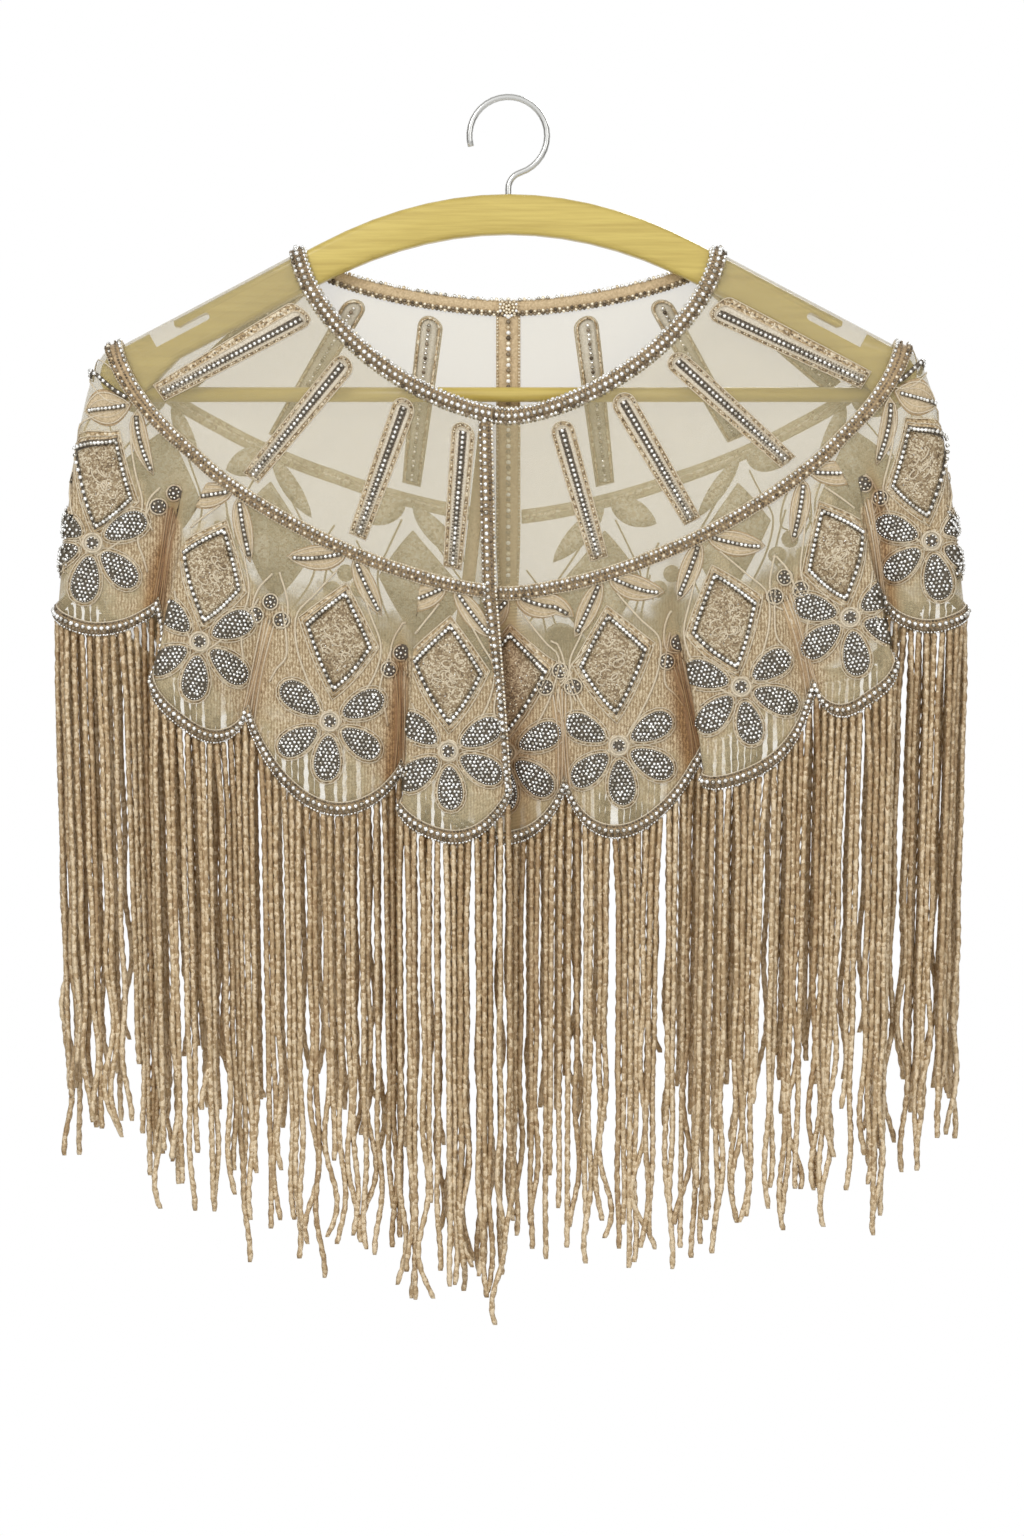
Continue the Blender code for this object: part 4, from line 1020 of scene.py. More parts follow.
BUTTON_RADIUS, BUTTON_THICK = 0.0052, 0.0028
BUTTON_LIFT = 0.0030
BUTTON_STEPS = ((0.0014, 0.0007), (0.0016, -0.0004))     # a raised rim and the dip inside it
seat, facing = cloth(LEFT, LEFT.back_edge, 0.0, BUTTON_LIFT)
bpy.ops.mesh.primitive_cylinder_add(vertices=32, radius=BUTTON_RADIUS, depth=BUTTON_THICK)
button = bpy.context.object
button.name = "back_button_dome"
bpy.ops.object.mode_set(mode="EDIT")
bpy.ops.mesh.select_mode(type="FACE")
bpy.ops.mesh.select_all(action="DESELECT")
bpy.ops.object.mode_set(mode="OBJECT")
for face in button.data.polygons:
    face.select = face.normal.z > 0.9
bpy.ops.object.mode_set(mode="EDIT")
for inset, raised in BUTTON_STEPS:
    bpy.ops.mesh.inset(thickness=inset)
    bpy.ops.transform.translate(value=(0.0, 0.0, raised))
bpy.ops.object.mode_set(mode="OBJECT")
round_edge = button.modifiers.new("round_edge", "BEVEL")
round_edge.width = 0.0004
round_edge.segments = 2
bpy.ops.object.modifier_apply(modifier="round_edge")
bpy.ops.object.shade_smooth()
turned = Vector(facing).to_track_quat("Z", "Y").to_matrix().to_4x4()
button.data.transform(Matrix.Translation(Vector(seat)) @ turned)
button.data.materials.append(tan_satin)
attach(button, "root")
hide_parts("back_button")
bpy.ops.object.select_all(action="DESELECT")


# ---- The fingers of the yoke --------------------------------------------------------------------------
# Between the neck and the yoke band one long finger lies on each ray: champagne beads round tan and
# ivory stitching, and on a dark strip a row of silver beads between fine smoke ones.  The back's
# fingers also show beads and a cord on their wrong side.
ivory_ground = threaded("ivory_ground", (0.46, 0.39, 0.28), (0.76, 0.69, 0.56), 1100.0, 0.55, 0.1)
crust = speckled("champagne_crust", ((0.16, (0.17, 0.108, 0.050)), (0.40, (0.40, 0.28, 0.145)),
                                     (0.66, (0.56, 0.42, 0.24)), (0.95, (0.88, 0.78, 0.59))),
                 0.0012, 0.5, 0.05, 0.0006)
PATCH_FOOT = 0.0001          # the back of a patch, off the net's middle
INNER_FOOT = 0.00004         # the back of a patch whose stitches show through the one below it
HIDDEN_FOOT = 0.0006         # the back of a patch sewn on top of another
CROWN = (1.0, 0.86, 0.5)     # shares of a patch's outline, from its wall up to its crown
LEAST_SPREAD = 0.0008        # square metres for a step of "at" and "down", where a fold stands on edge
EDGE_ROOM = 0.004            # what work leaves free beside a fold or an edge, in "at"
BEADS_FOOT = 1.98            # where beads sewn to the net end, in "down"
COUCHED_SIDES = 4
FINGER_TOP, FINGER_FOOT = 0.0085, 0.0085
FINGER_HALF, FINGER_TAPER = 0.0060, 0.0014
# The ivory stitching's wrong side, painted much lighter than the ivory to make up for the shade inside the
# cape.
pale_back = threaded("pale_back", (0.70, 0.62, 0.48), (0.98, 0.93, 0.82), 1100.0, 0.6, 0.1)
STITCHED = (crust, pale_cord, dark_ground, ivory_ground, tan_satin, wrong_side, pale_back)
CRUST, IVORY, BROWN, WRONG_SIDE_PAINTED_LIGHT, PALE_BACK_PAINTED_LIGHT = 0, 3, 4, 5, 6

# A flat pattern is laid from a spot of the cloth, and an offset moves a motif's outline out.
Spot = namedtuple("Spot", "half at down true_shape", defaults=(False,))
# A patch's flat back takes the wrong side's colour with painted light, unless it says otherwise.
Patch = namedtuple("Patch", "offset lift rise mark foot back", defaults=(PATCH_FOOT, WRONG_SIDE_PAINTED_LIGHT))
Couched = namedtuple("Couched", "offset lift radius mark", defaults=(CORD,))
FINGER_PATCHES = (
    Patch(0.0, 0.0005, 0.0002, CRUST),
    Patch(-0.0019, 0.0009, 0.0002, IVORY, INNER_FOOT, PALE_BACK_PAINTED_LIGHT),
    Patch(-0.0039, 0.0012, 0.0002, GROUND, HIDDEN_FOOT),
)
FINGER_CORDS = (Couched(0.0002, 0.0006, 0.00035), Couched(-0.0021, 0.0011, 0.00030))
FINGER_EDGE = (Row(-0.0010, 0.0012, 0.00066, 0.00150, (CHAMPAGNE, CHAMPAGNE, SMOKE)),)
FINGER_RIB = (
    Row(0.0, 0.0021, 0.00125, 0.00270, SILVER),
    Row(-0.0017, 0.0014, 0.00060, 0.00160, SMOKE),
    Row(0.0017, 0.0014, 0.00060, 0.00160, SMOKE),
)
RIB_FROM, RIB_SHORT = 0.0036, 0.0046
INSIDE_RIB = Row(0.0, -0.0013, 0.00120, 0.00250, (SILVER, SMOKE, SILVER))
INSIDE_CORD = Couched(-0.0009, -0.0007, 0.00062, CRUST)


def scallops():
    """The scallops of both halves in turn: the half, the scallop's number and its ray."""
    for half in HALVES:
        for number in range(int(half.back_edge)):
            yield half, number, number + 0.5


def room(half, at):
    """How far work that is centred at a place may reach either way before a fold or an edge."""
    low = max([EDGE_ROOM] + [after for before, after in half.pleats if after <= at])
    high = min([half.back_edge - EDGE_ROOM] + [before for before, after in half.pleats if at <= before])
    return low, high


def flat_on_cloth(spot, across, along):
    """The places of a flat pattern laid from one spot: metres across the ray and down it.
    A pattern of true shape keeps its angles; else it leans with the cloth's own lines."""
    half, at, down = spot[:3]
    low, high = room(half, at)
    level = max(down, 1.1) if down >= 1.0 else 0.5
    downs = np.clip(down + along / fall_metres(half, at, level), NET_TOP, NET_FOOT)
    ats = at + across / across_metres(half, np.full_like(downs, at), downs)
    if spot.true_shape:
        step = 0.01
        middle = cloth_points(half, at, down)
        fall = unit(cloth_points(half, at, down + step) - cloth_points(half, at, down - step))
        run = unit(cloth_points(half, at + step, down) - cloth_points(half, at - step, down))
        level_run = unit(run - fall * (run @ fall))
        for _ in range(4):
            ats = np.clip(ats, max(low, step), min(high, half.back_edge - step))
            downs = np.clip(downs, step, NET_FOOT)
            here = cloth_points(half, ats, downs)
            by_at = (cloth_points(half, ats + step, downs) - here) / step
            by_down = (here - cloth_points(half, ats, downs - step)) / step
            gap_x = across - (here - middle) @ level_run
            gap_y = along - (here - middle) @ fall
            a, b, c, d = by_at @ level_run, by_down @ level_run, by_at @ fall, by_down @ fall
            spread = a * d - b * c
            spread = np.where(np.abs(spread) < LEAST_SPREAD, LEAST_SPREAD, spread)
            wanted = ats + np.clip((d * gap_x - b * gap_y) / spread, -0.1, 0.1)
            kept = np.clip(wanted, low, high)
            downs = downs + np.clip((gap_y - c * (kept - ats)) / np.maximum(d, 0.02), -0.1, 0.1)
            ats = kept
    return np.clip(ats, low, high), np.clip(downs, NET_TOP, NET_FOOT)


def sewn_places(spot, pattern, lift):
    """Places for beads on the cloth, without those that a fold or an edge hides."""
    ats, downs = flat_on_cloth(spot, pattern[:, 0], pattern[:, 1])
    low, high = room(spot.half, spot.at)
    seen = (ats > low + EDGE_ROOM) & (ats < high - EDGE_ROOM) & (downs < BEADS_FOOT)
    return cloth(spot.half, ats[seen], downs[seen], lift)[0]


def appliqued(work, spot, outline, patch):
    """A raised patch with a flat outline: its crown, its wall and its flat back."""
    half = spot.half
    outline = np.asarray(outline)
    middle = outline.mean(axis=0)
    count = len(outline)
    levels = [(1.0, patch.foot)]
    levels += [(share, patch.lift + patch.rise * (1 - share**2) ** 0.5) for share in CROWN]
    layers, shades = [], []
    for share, height in levels:
        flat = middle + (outline - middle) * share
        ats, downs = flat_on_cloth(spot, flat[:, 0], flat[:, 1])
        layers.append(cloth(half, ats, downs, height)[0])
        shades.append(fold_shade(half, ats, downs))
    ats, downs = flat_on_cloth(spot, middle[:1] * np.ones(2), middle[1:] * np.ones(2))
    layers.append(cloth(half, ats, downs, np.array((patch.foot, patch.lift + patch.rise)))[0])
    shades.append(fold_shade(half, ats, downs))
    walls, fans = tube_faces(len(levels), count), end_fans(len(levels), count)
    x, y = outline.T
    if np.sum(x * np.roll(y, -1) - y * np.roll(x, -1)) * half.side < 0:
        walls, fans = walls[:, ::-1], fans[:, ::-1]
    points = np.concatenate(layers)
    # Each point's tone is the painted fold shade at its place.
    work.add(points, walls, patch.mark, np.concatenate(shades))
    work.face(fans, np.repeat((patch.back, patch.mark), count), len(points))


def bead_line(work, spot, line, row, closed=False):
    """Beads along a flat line laid on the cloth; their marks are taken in turn."""
    line = np.concatenate((line, line[:1])) if closed else np.asarray(line)
    shares = evenly(np.column_stack((line, np.zeros(len(line)))), row.pitch)
    pattern = np.column_stack((picked(shares, line[:, 0]), picked(shares, line[:, 1])))
    in_turn(work, sewn_places(spot, pattern, row.lift), row.radius, row.mark)


def cord_line(work, spot, line, cord, closed=False):
    """A cord couched along a flat line."""
    line = np.concatenate((line, line[:1])) if closed else np.asarray(line)
    ats, downs = flat_on_cloth(spot, line[:, 0], line[:, 1])
    low, high = room(spot.half, spot.at)
    seen = (ats > low) & (ats < high)
    for run in np.split(np.arange(len(ats)), np.nonzero(np.diff(seen))[0] + 1):
        if seen[run[0]] and len(run) > 2:
            # The cord's tone is the painted fold shade along it.
            piping(work, cloth(spot.half, ats[run], downs[run], cord.lift)[0], cord.radius, cord.mark,
                   sides=COUCHED_SIDES, tone=fold_shade(spot.half, ats[run], downs[run]))


def motif(work, beads, spot, outline, patches=(), cords=(), rows=()):
    """A motif by its outline, which an offset moves out: patches one on another, then cords and
    rows of beads round them."""
    for patch in patches:
        appliqued(work, spot, outline(patch.offset), patch)
    for cord in cords:
        cord_line(work, spot, outline(cord.offset), cord, closed=True)
    for row in rows:
        bead_line(beads, spot, outline(row.offset), row, closed=True)


def finger_outline(length, grow, steps=10):
    """A long finger: round at the neck, tapering to its foot; grow moves it out all round."""
    top, foot = FINGER_HALF + grow, max(FINGER_HALF - FINGER_TAPER + grow, 0.0006)
    arc = [(-top * math.cos(math.pi * k / steps), top - grow - top * math.sin(math.pi * k / steps))
           for k in range(steps + 1)]
    share = [k / 8 for k in range(1, 9)]
    down_side = [(top + (foot - top) * s**1.4, top + (length - top + grow) * s) for s in share]
    up_side = [(-x, y) for x, y in reversed(down_side)]
    return np.array(arc + down_side + up_side)


finger_work, finger_beads = Work(), Work()
for half, number, at in scallops():
    if half is RIGHT and number == 0:
        continue        # none lies under the front edge
    fall = float(fall_metres(half, at, 0.5))
    length = fall - FINGER_TOP - FINGER_FOOT
    spot = Spot(half, at, FINGER_TOP / fall)
    motif(finger_work, finger_beads, spot, lambda grow: finger_outline(length, grow),
          FINGER_PATCHES, FINGER_CORDS, FINGER_EDGE)
    rib = np.array([(0.0, RIB_FROM + (length - RIB_SHORT) * k / 20) for k in range(21)])
    for row in FINGER_RIB:
        bead_line(finger_beads, spot, rib + (row.offset, 0.0), row)
    if at > half.ridge:
        bead_line(finger_beads, spot, rib, INSIDE_RIB)
        cord_line(finger_work, spot, finger_outline(length, INSIDE_CORD.offset), INSIDE_CORD, closed=True)
finger_work.piece("yoke_fingers", STITCHED, "champagne_work")
finger_beads.piece("yoke_finger_beads", BEADS, "bead_band")


# ---- The leaves -----------------------------------------------------------------------------------------
# Below the yoke band leaves spread from each ray, the longer one away from the cape's middle.
# Each is an oval of tan stitching with cords round it and a rib of silver beads on a dark line: the leaf's
# midrib, made wide to paint the shade between the beads.
Leaf = namedtuple("Leaf", "lean start length half_width filled")
LEAVES = (Leaf(54, 0.0035, 0.0350, 0.0054, True), Leaf(-36, 0.0035, 0.0330, 0.0050, True))
SIDE_LEAVES = (Leaf(64, 0.0030, 0.0330, 0.0056, False), Leaf(30, 0.0040, 0.0300, 0.0050, True),
               Leaf(-44, 0.0040, 0.0360, 0.0052, True))
LEAN_UNEVEN = 4.0
HIDDEN_RAY_SHARE = 0.80      # the leaves beside the covered front edge are this much shorter
leaf_stitch = threaded("leaf_stitch", (0.34, 0.245, 0.130), (0.66, 0.535, 0.350), 1000.0, 0.6, 0.1)
STITCHED = STITCHED + (leaf_stitch,)
LEAF = len(STITCHED) - 1
LEAF_PATCHES = (Patch(0.0010, 0.0004, 0.0002, BROWN), Patch(0.0, 0.0007, 0.0004, LEAF, INNER_FOOT))
LEAF_RIB_FROM, LEAF_RIB_LONG = 0.08, 0.84    # shares of the leaf's length
LEAF_INNER_CORD = Couched(-0.0022, 0.0010, 0.00030)
LEAF_CORD = Couched(0.0, 0.0009, 0.00044)
# A dark cord under the rib beads: the leaf's dark midrib, and painted shade between the beads.
LEAF_RIB = Couched(0.0, 0.0014, 0.0013, GROUND)
LEAF_RIB_BEADS = Row(0.0, 0.0024, 0.00118, 0.00262, SILVER)
leaf_work, leaf_beads = Work(), Work()


def turned_flat(points, angle):
    """A flat outline turned from straight down towards growing "at"."""
    points = np.asarray(points)
    return np.column_stack((points[:, 0] * math.cos(angle) + points[:, 1] * math.sin(angle),
                            -points[:, 0] * math.sin(angle) + points[:, 1] * math.cos(angle)))


def leaf_outline(leaf, grow, steps=10):
    """Pointed at both ends and widest a little before its middle."""
    sides = []
    for k in range(steps + 1):
        share = k / steps
        sides.append(((leaf.half_width + grow) * math.sin(math.pi * share**0.85) ** 0.75,
                      leaf.start - grow + (leaf.length + 2 * grow) * share))
    return np.array(sides[:-1] + [(-x, y) for x, y in reversed(sides[1:])])


for half, number, at in scallops():
    spot = Spot(half, at, 1.0)
    outward = 1 if at < half.ridge else -1
    for leaf in SIDE_LEAVES if number == int(half.ridge) else LEAVES:
        lean = math.radians(outward * (leaf.lean + luck.uniform(-LEAN_UNEVEN, LEAN_UNEVEN)))
        if half is RIGHT and number == 0:
            leaf = leaf._replace(length=leaf.length * HIDDEN_RAY_SHARE)
        motif(leaf_work, leaf_beads, spot, lambda grow: turned_flat(leaf_outline(leaf, grow), lean),
              patches=LEAF_PATCHES if leaf.filled else (),
              cords=(LEAF_INNER_CORD, LEAF_CORD) if leaf.filled else (LEAF_CORD,))
        rib = [(0.0, leaf.start + leaf.length * (LEAF_RIB_FROM + LEAF_RIB_LONG * k / 14)) for k in range(15)]
        cord_line(leaf_work, spot, turned_flat(rib, lean), LEAF_RIB)
        bead_line(leaf_beads, spot, turned_flat(rib, lean), LEAF_RIB_BEADS)
leaf_work.piece("yoke_leaves", STITCHED, "champagne_work")
leaf_beads.piece("yoke_leaf_beads", BEADS, "bead_band")


# ---- The diamonds ---------------------------------------------------------------------------------------
# One raised diamond on each scallop: a crust of champagne stitches under loose pale ones and a few
# bright beads, a row of silver beads round it on a dark edge, and a halo of cords outside.
DIAMOND_LENGTH, DIAMOND_HALF = 0.0515, 0.0178
DIAMOND_TOP = 0.0225
DIAMOND_MIDDLE = (0.0, DIAMOND_TOP + DIAMOND_LENGTH / 2)
DIAMOND_BELLY = 0.06         # how far its sides bulge, for its size
HALO = 0.0046
LOOSE_STITCHES = 9
LOOSE_CURL, LOOSE_TURN, LOOSE_BEND = (0.0030, 0.0021), 1.1, 3.0      # a curl's radii, and how it bends
LOOSE_OUT, LOOSE_DOWN = 0.36, 0.17           # how far from the middle they lie, as shares of the diamond
diamond_crust = speckled("diamond_crust", ((0.16, (0.110, 0.070, 0.032)), (0.42, (0.255, 0.178, 0.094)),
                                           (0.68, (0.360, 0.268, 0.152)), (0.95, (0.680, 0.590, 0.430))),
                         0.0008, 0.5, 0.05, 0.0005)
STITCHED = STITCHED + (diamond_crust,)
FILLING = len(STITCHED) - 1
DIAMOND_PATCHES = (
    Patch(HALO, 0.0004, 0.0002, CRUST),
    Patch(0.0012, 0.0009, 0.0003, GROUND, HIDDEN_FOOT),
    Patch(-0.0014, 0.0012, 0.0012, FILLING, INNER_FOOT),
)
DIAMOND_CORDS = (Couched(HALO, 0.0006, 0.00040), Couched(HALO * 0.55, 0.0008, 0.00030))
DIAMOND_EDGE = (Row(-0.0002, 0.0024, 0.00134, 0.00272, SILVER),)
LOOSE_STITCH = Couched(0.0, 0.0024, 0.00042)
LOOSE_BEADS, LOOSE_LIFT, LOOSE_ROOM = 90, 0.0022, 0.80
BRIGHT_BEAD, FILLING_BEAD = 0.00055, 0.00065
diamond_work, diamond_beads = Work(), Work()


def diamond_outline(grow, steps=5):
    """Four sides with a little belly, corner up; grow moves them all out."""
    tall, wide = DIAMOND_LENGTH / 2 + grow * 1.25, DIAMOND_HALF + grow * 1.1
    corners = [(0.0, -tall), (wide, 0.0), (0.0, tall), (-wide, 0.0)]
    line = []
    for (x0, y0), (x1, y1) in zip(corners, corners[1:] + corners[:1]):
        for k in range(steps):
            share = k / steps
            belly = 1.0 + DIAMOND_BELLY * math.sin(math.pi * share)
            line.append(((x0 + (x1 - x0) * share) * belly, (y0 + (y1 - y0) * share) * belly))
    return np.array(line) + DIAMOND_MIDDLE


for half, number, at in scallops():
    spot = Spot(half, at, 1.0)
    motif(diamond_work, diamond_beads, spot, diamond_outline, DIAMOND_PATCHES, DIAMOND_CORDS, DIAMOND_EDGE)
    for _ in range(LOOSE_STITCHES):
        x, y, bend = luck.uniform(-1.0, 1.0, 3)
        turn = np.linspace(0.0, 1.0, 7)[:, None] * math.pi * LOOSE_TURN + bend * LOOSE_BEND
        curl = np.concatenate((np.cos(turn), np.sin(turn)), axis=1) * LOOSE_CURL + DIAMOND_MIDDLE
        curl = curl + (x * DIAMOND_HALF * LOOSE_OUT, y * DIAMOND_LENGTH * LOOSE_DOWN)
        cord_line(diamond_work, spot, curl, LOOSE_STITCH)
    spread = luck.uniform(-1.0, 1.0, (LOOSE_BEADS, 2))
    spread = spread[np.abs(spread).sum(axis=1) < LOOSE_ROOM] * (DIAMOND_HALF, DIAMOND_LENGTH / 2)
    places = sewn_places(spot, spread + DIAMOND_MIDDLE, LOOSE_LIFT)
    sew_beads(diamond_beads, places[::4], BRIGHT_BEAD, SILVER)
    sew_beads(diamond_beads, places[1::2], FILLING_BEAD, CHAMPAGNE)
diamonds = diamond_work.piece("scallop_diamonds", STITCHED, "champagne_work")
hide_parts(*[f"diamond_left_{k}" for k in range(1, 8)],
            *[f"diamond_right_{k}" for k in range(1, 9)])
diamond_beads.piece("scallop_diamond_beads", BEADS, "bead_band")


# ---- The flowers ----------------------------------------------------------------------------------------
# Below each diamond a flower of five pear-shaped petals opens round a ring with a bead in it.
# A petal is a raised dark ground sewn with silver beads, with a fine bright row round it.
FLOWER_CENTRE = 0.0450      # above the scallop's foot
PETAL_OUT = 0.0196
PETAL_LONG, PETAL_WIDE = 0.0230, 0.0073
PETAL_FULL, PETAL_PEAR = 0.84, 0.24          # its width at the middle, and what the far end gains on it
PETAL_TURNS = (-122, -60, -2, 56, 120)
TURN_UNEVEN, SIZE_UNEVEN = 6.0, 0.05
RING_OUT = 0.0050
FILL_PITCH, FILL_RADIUS, FILL_LIFT = 0.00218, 0.00100, 0.0022
FILL_ROWS_CLOSER, FILL_SIDE, FILL_END = 0.87, 0.0009, 0.0010
FILL_UNEVEN = 0.00032
petal_ground = threaded("petal_ground", (0.064, 0.050, 0.030), (0.158, 0.126, 0.084), 900.0, 0.6, 0.0)
STITCHED = STITCHED + (petal_ground,)
PETAL = len(STITCHED) - 1
PETAL_PATCHES = (Patch(0.0020, 0.0005, 0.0001, CRUST), Patch(0.0004, 0.0009, 0.0008, PETAL, INNER_FOOT, LEAF))
PETAL_CORDS = (Couched(0.0009, 0.0009, 0.00034), Couched(0.0024, 0.0009, 0.00030))
PETAL_EDGE = (Row(-0.0001, 0.0016, 0.00066, 0.00145, SILVER),)
RING_PATCHES = (
    Patch(0.0014, 0.0007, 0.0002, CRUST),
    Patch(-0.0006, 0.0010, 0.0002, IVORY, HIDDEN_FOOT),
    Patch(-0.0018, 0.0013, 0.0001, GROUND, HIDDEN_FOOT),
)
RING_CORDS = (Couched(0.0, 0.0013, 0.0008),)
RING_BEADS = (Row(-0.0022, 0.0019, 0.00084, 0.00205, (SILVER, SILVER, CHAMPAGNE)),)
CENTRE_BEAD = Row(0.0, 0.0020, 0.0011, 0.004, SILVER)
flower_work, flower_beads = Work(), Work()


def petal_half(y, size):
    """Half a petal's width at a height from -1 to 1, before its ends are rounded."""
    return PETAL_WIDE * size * (PETAL_FULL + PETAL_PEAR * y)


def petal_outline(grow, size, steps=18):
    """A pear: wide at its far end, narrow at the ring."""
    line = []
    for k in range(steps):
        turn = 2 * math.pi * k / steps
        y = -math.cos(turn)
        line.append((math.sin(turn) * (petal_half(y, size) + grow),
                     PETAL_OUT + y * (PETAL_LONG * size / 2 + grow)))
    return np.array(line)


def petal_filling(size):
    """Places for staggered rows of beads inside a petal, each a little out of line."""
    places = []
    half_long = PETAL_LONG * size / 2
    rows = int(PETAL_LONG * size / (FILL_PITCH * FILL_ROWS_CLOSER))
    for r in range(rows):
        y = -1 + (r + 0.5) * 2 / rows
        clear = petal_half(y, size) * math.sqrt(max(0.0, 1 - y * y)) - FILL_SIDE
        for c in range(-4, 5):
            x = (c + 0.5 * (r % 2)) * FILL_PITCH
            if abs(x) < clear and abs(y) * half_long < half_long - FILL_END:
                places.append((x, PETAL_OUT + y * half_long))
    return np.array(places) + luck.uniform(-FILL_UNEVEN, FILL_UNEVEN, (len(places), 2))


def ring_outline(radius, steps=14):
    turns = [2 * math.pi * k / steps for k in range(steps)]
    return np.array([(radius * math.sin(turn), -radius * math.cos(turn)) for turn in turns])


for half, number, at in scallops():
    spot = Spot(half, at, 2.0 - FLOWER_CENTRE / float(fall_metres(half, at, MID_SKIRT)), True)
    for turn in PETAL_TURNS:
        lean = math.radians(turn + luck.uniform(-TURN_UNEVEN, TURN_UNEVEN))
        size = 1.0 + luck.uniform(-SIZE_UNEVEN, SIZE_UNEVEN)
        motif(flower_work, flower_beads, spot, lambda grow: turned_flat(petal_outline(grow, size), lean),
              PETAL_PATCHES, PETAL_CORDS, PETAL_EDGE)
        places = sewn_places(spot, turned_flat(petal_filling(size), lean), FILL_LIFT)
        sew_beads(flower_beads, places, FILL_RADIUS, SILVER)
    motif(flower_work, flower_beads, spot, lambda grow: ring_outline(RING_OUT + grow),
          RING_PATCHES, RING_CORDS, RING_BEADS)
    bead_line(flower_beads, spot, ring_outline(0.0004), CENTRE_BEAD)
flower_work.piece("scallop_flowers", STITCHED, "champagne_work")
flower_beads.piece("scallop_flower_beads", BEADS, "bead_band")


# ---- The eyelets and stems --------------------------------------------------------------------------------
# Where two scallops meet, three small rings stand on a sheaf of brown and cream cords that runs down
# to the hem.  More cream cords are couched in long curves round the diamonds and flowers.
EYELETS = ((0.0006, -0.0036), (-0.0076, 0.0046), (0.0070, 0.0052))
EYELET_ABOVE = 0.0560       # above the valley between two scallops
EYELET_RADIUS = 0.0033
EYELET_PATCHES = (Patch(0.0014, 0.0007, 0.0001, GROUND),)
EYELET_CORDS = (Couched(0.0010, 0.0011, 0.00050),)
EYELET_BEADS = (Row(-0.0006, 0.0015, 0.00080, 0.00200, (SILVER, CHAMPAGNE)),)
EYELET_CENTRE = Row(0.0, 0.0016, 0.0010, 0.004, SILVER)
STEM_HALF, STEM_TOP, STEM_SHORT = 0.0046, 0.004, 0.003
STEM_BODY = Patch(0.0, 0.0004, 0.0002, BROWN)
STEMS = tuple(Couched(x, 0.0009, 0.00048, mark) for x, mark in (
    (-0.0036, CORD), (-0.0024, BROWN), (-0.0012, CORD), (0.0, BROWN), (0.0012, CORD), (0.0024, BROWN),
    (0.0036, CORD)))
STEM_BOW = 0.0012
CURVE_CORD = Couched(0.0, 0.0006, 0.00060)
CURVES = (      # metres beside a ray and down from the yoke line, on its outer side and its inner one
    ((0.006, 0.012), (0.016, 0.030), (0.0245, 0.048), (0.0215, 0.066), (0.0100, 0.082), (0.0035, 0.089)),
    ((0.031, 0.050), (0.0275, 0.062), (0.0260, 0.074), (0.0300, 0.086), (0.0330, 0.098)),
    ((0.036, 0.034), (0.0300, 0.044), (0.0290, 0.056), (0.0340, 0.066)),
)
stem_work, stem_beads = Work(), Work()


def rounded_line(points, steps=22):
    """One smooth curve through a few places."""
    points = np.asarray(points)
    rows = [Ray(float(k), 0.0, 0.0, 0.0, 0.0) for k in range(len(points))]
    at = np.linspace(0.0, len(points) - 1.0, steps)
    return np.column_stack((smooth(rows, points[:, 0], at), smooth(rows, points[:, 1], at)))


for half in HALVES:
    for number in range(int(half.back_edge)):
        for side in (-1, 1):
            for curve in CURVES:
                line = rounded_line(curve) * (side * luck.uniform(0.95, 1.05), 1.0)
                cord_line(stem_work, Spot(half, number + 0.5, 1.0), line, CURVE_CORD)
    for number in range(1, int(half.back_edge)):
        at = float(number)
        down = 2.0 - EYELET_ABOVE / float(fall_metres(half, at, MID_SKIRT))
        spot, leaning = Spot(half, at, down, True), Spot(half, at, down)
        foot = EYELET_ABOVE - STEM_SHORT
        side_line = [(STEM_HALF, STEM_TOP), (STEM_HALF * 0.8, foot * 0.5), (STEM_HALF * 0.9, foot)]
        body = np.array(side_line + [(-x, y) for x, y in reversed(side_line)])
        appliqued(stem_work, leaning, body, STEM_BODY)
        for stem in STEMS:
            bow = luck.uniform(-STEM_BOW, STEM_BOW)
            line = []
            for k in range(13):
                swell = math.sin(math.pi * k / 12)
                line.append((stem.offset * (1.0 - 0.25 * swell) + bow * swell,
                             STEM_TOP + (foot - STEM_TOP) * k / 12))
            cord_line(stem_work, leaning, np.array(line), stem)
        for centre in EYELETS:
            motif(stem_work, stem_beads, spot, lambda grow: ring_outline(EYELET_RADIUS + grow, 12) + centre,
                  EYELET_PATCHES, EYELET_CORDS, EYELET_BEADS)
            bead_line(stem_beads, spot, ring_outline(0.0003, 6) + centre, EYELET_CENTRE)
stem_work.piece("eyelet_stems", STITCHED, "champagne_work")
stem_beads.piece("eyelet_beads", BEADS, "bead_band")


# ---- The fringe -----------------------------------------------------------------------------------------
# Strands of tan glass beads hang from the hem, close together, in small bunches with pale slits
# between them.  Each strand is its own string of beads, uneven at its tip, and sways a little.
STRAND_PITCH = 0.0041
FRINGE_STEPS = 400
BEAD_LONG = 0.0040
BELLY, WAIST = 0.00172, 0.00128
BEAD_SHOULDER, BEAD_PULSE = 0.25, 0.86       # where along a bead it is full, and each other one's size
STRAND_SIDES = 5
HEAD_TUCK = 0.0004           # how far a strand's head goes into the hem binding
GATHER = 0.966               # the fringe's width at its foot, for its width at the hem
FRINGE_HALF = 0.26           # bunches are counted this far out from the middle
BUNCH_LOW, BUNCH_MEAN, BUNCH_HIGH = 0.0045, 0.0062, 0.030
BUNCH_PULL, BUNCH_FALL = 0.90, 0.035         # how closely a bunch gathers, and within how much fall
BUNCH_TAPER = 0.11           # a bunch is narrower by this share at its foot
SLIT = 0.0008
TIP_PALER = 0.14             # how much paler a strand's tone is at its tip
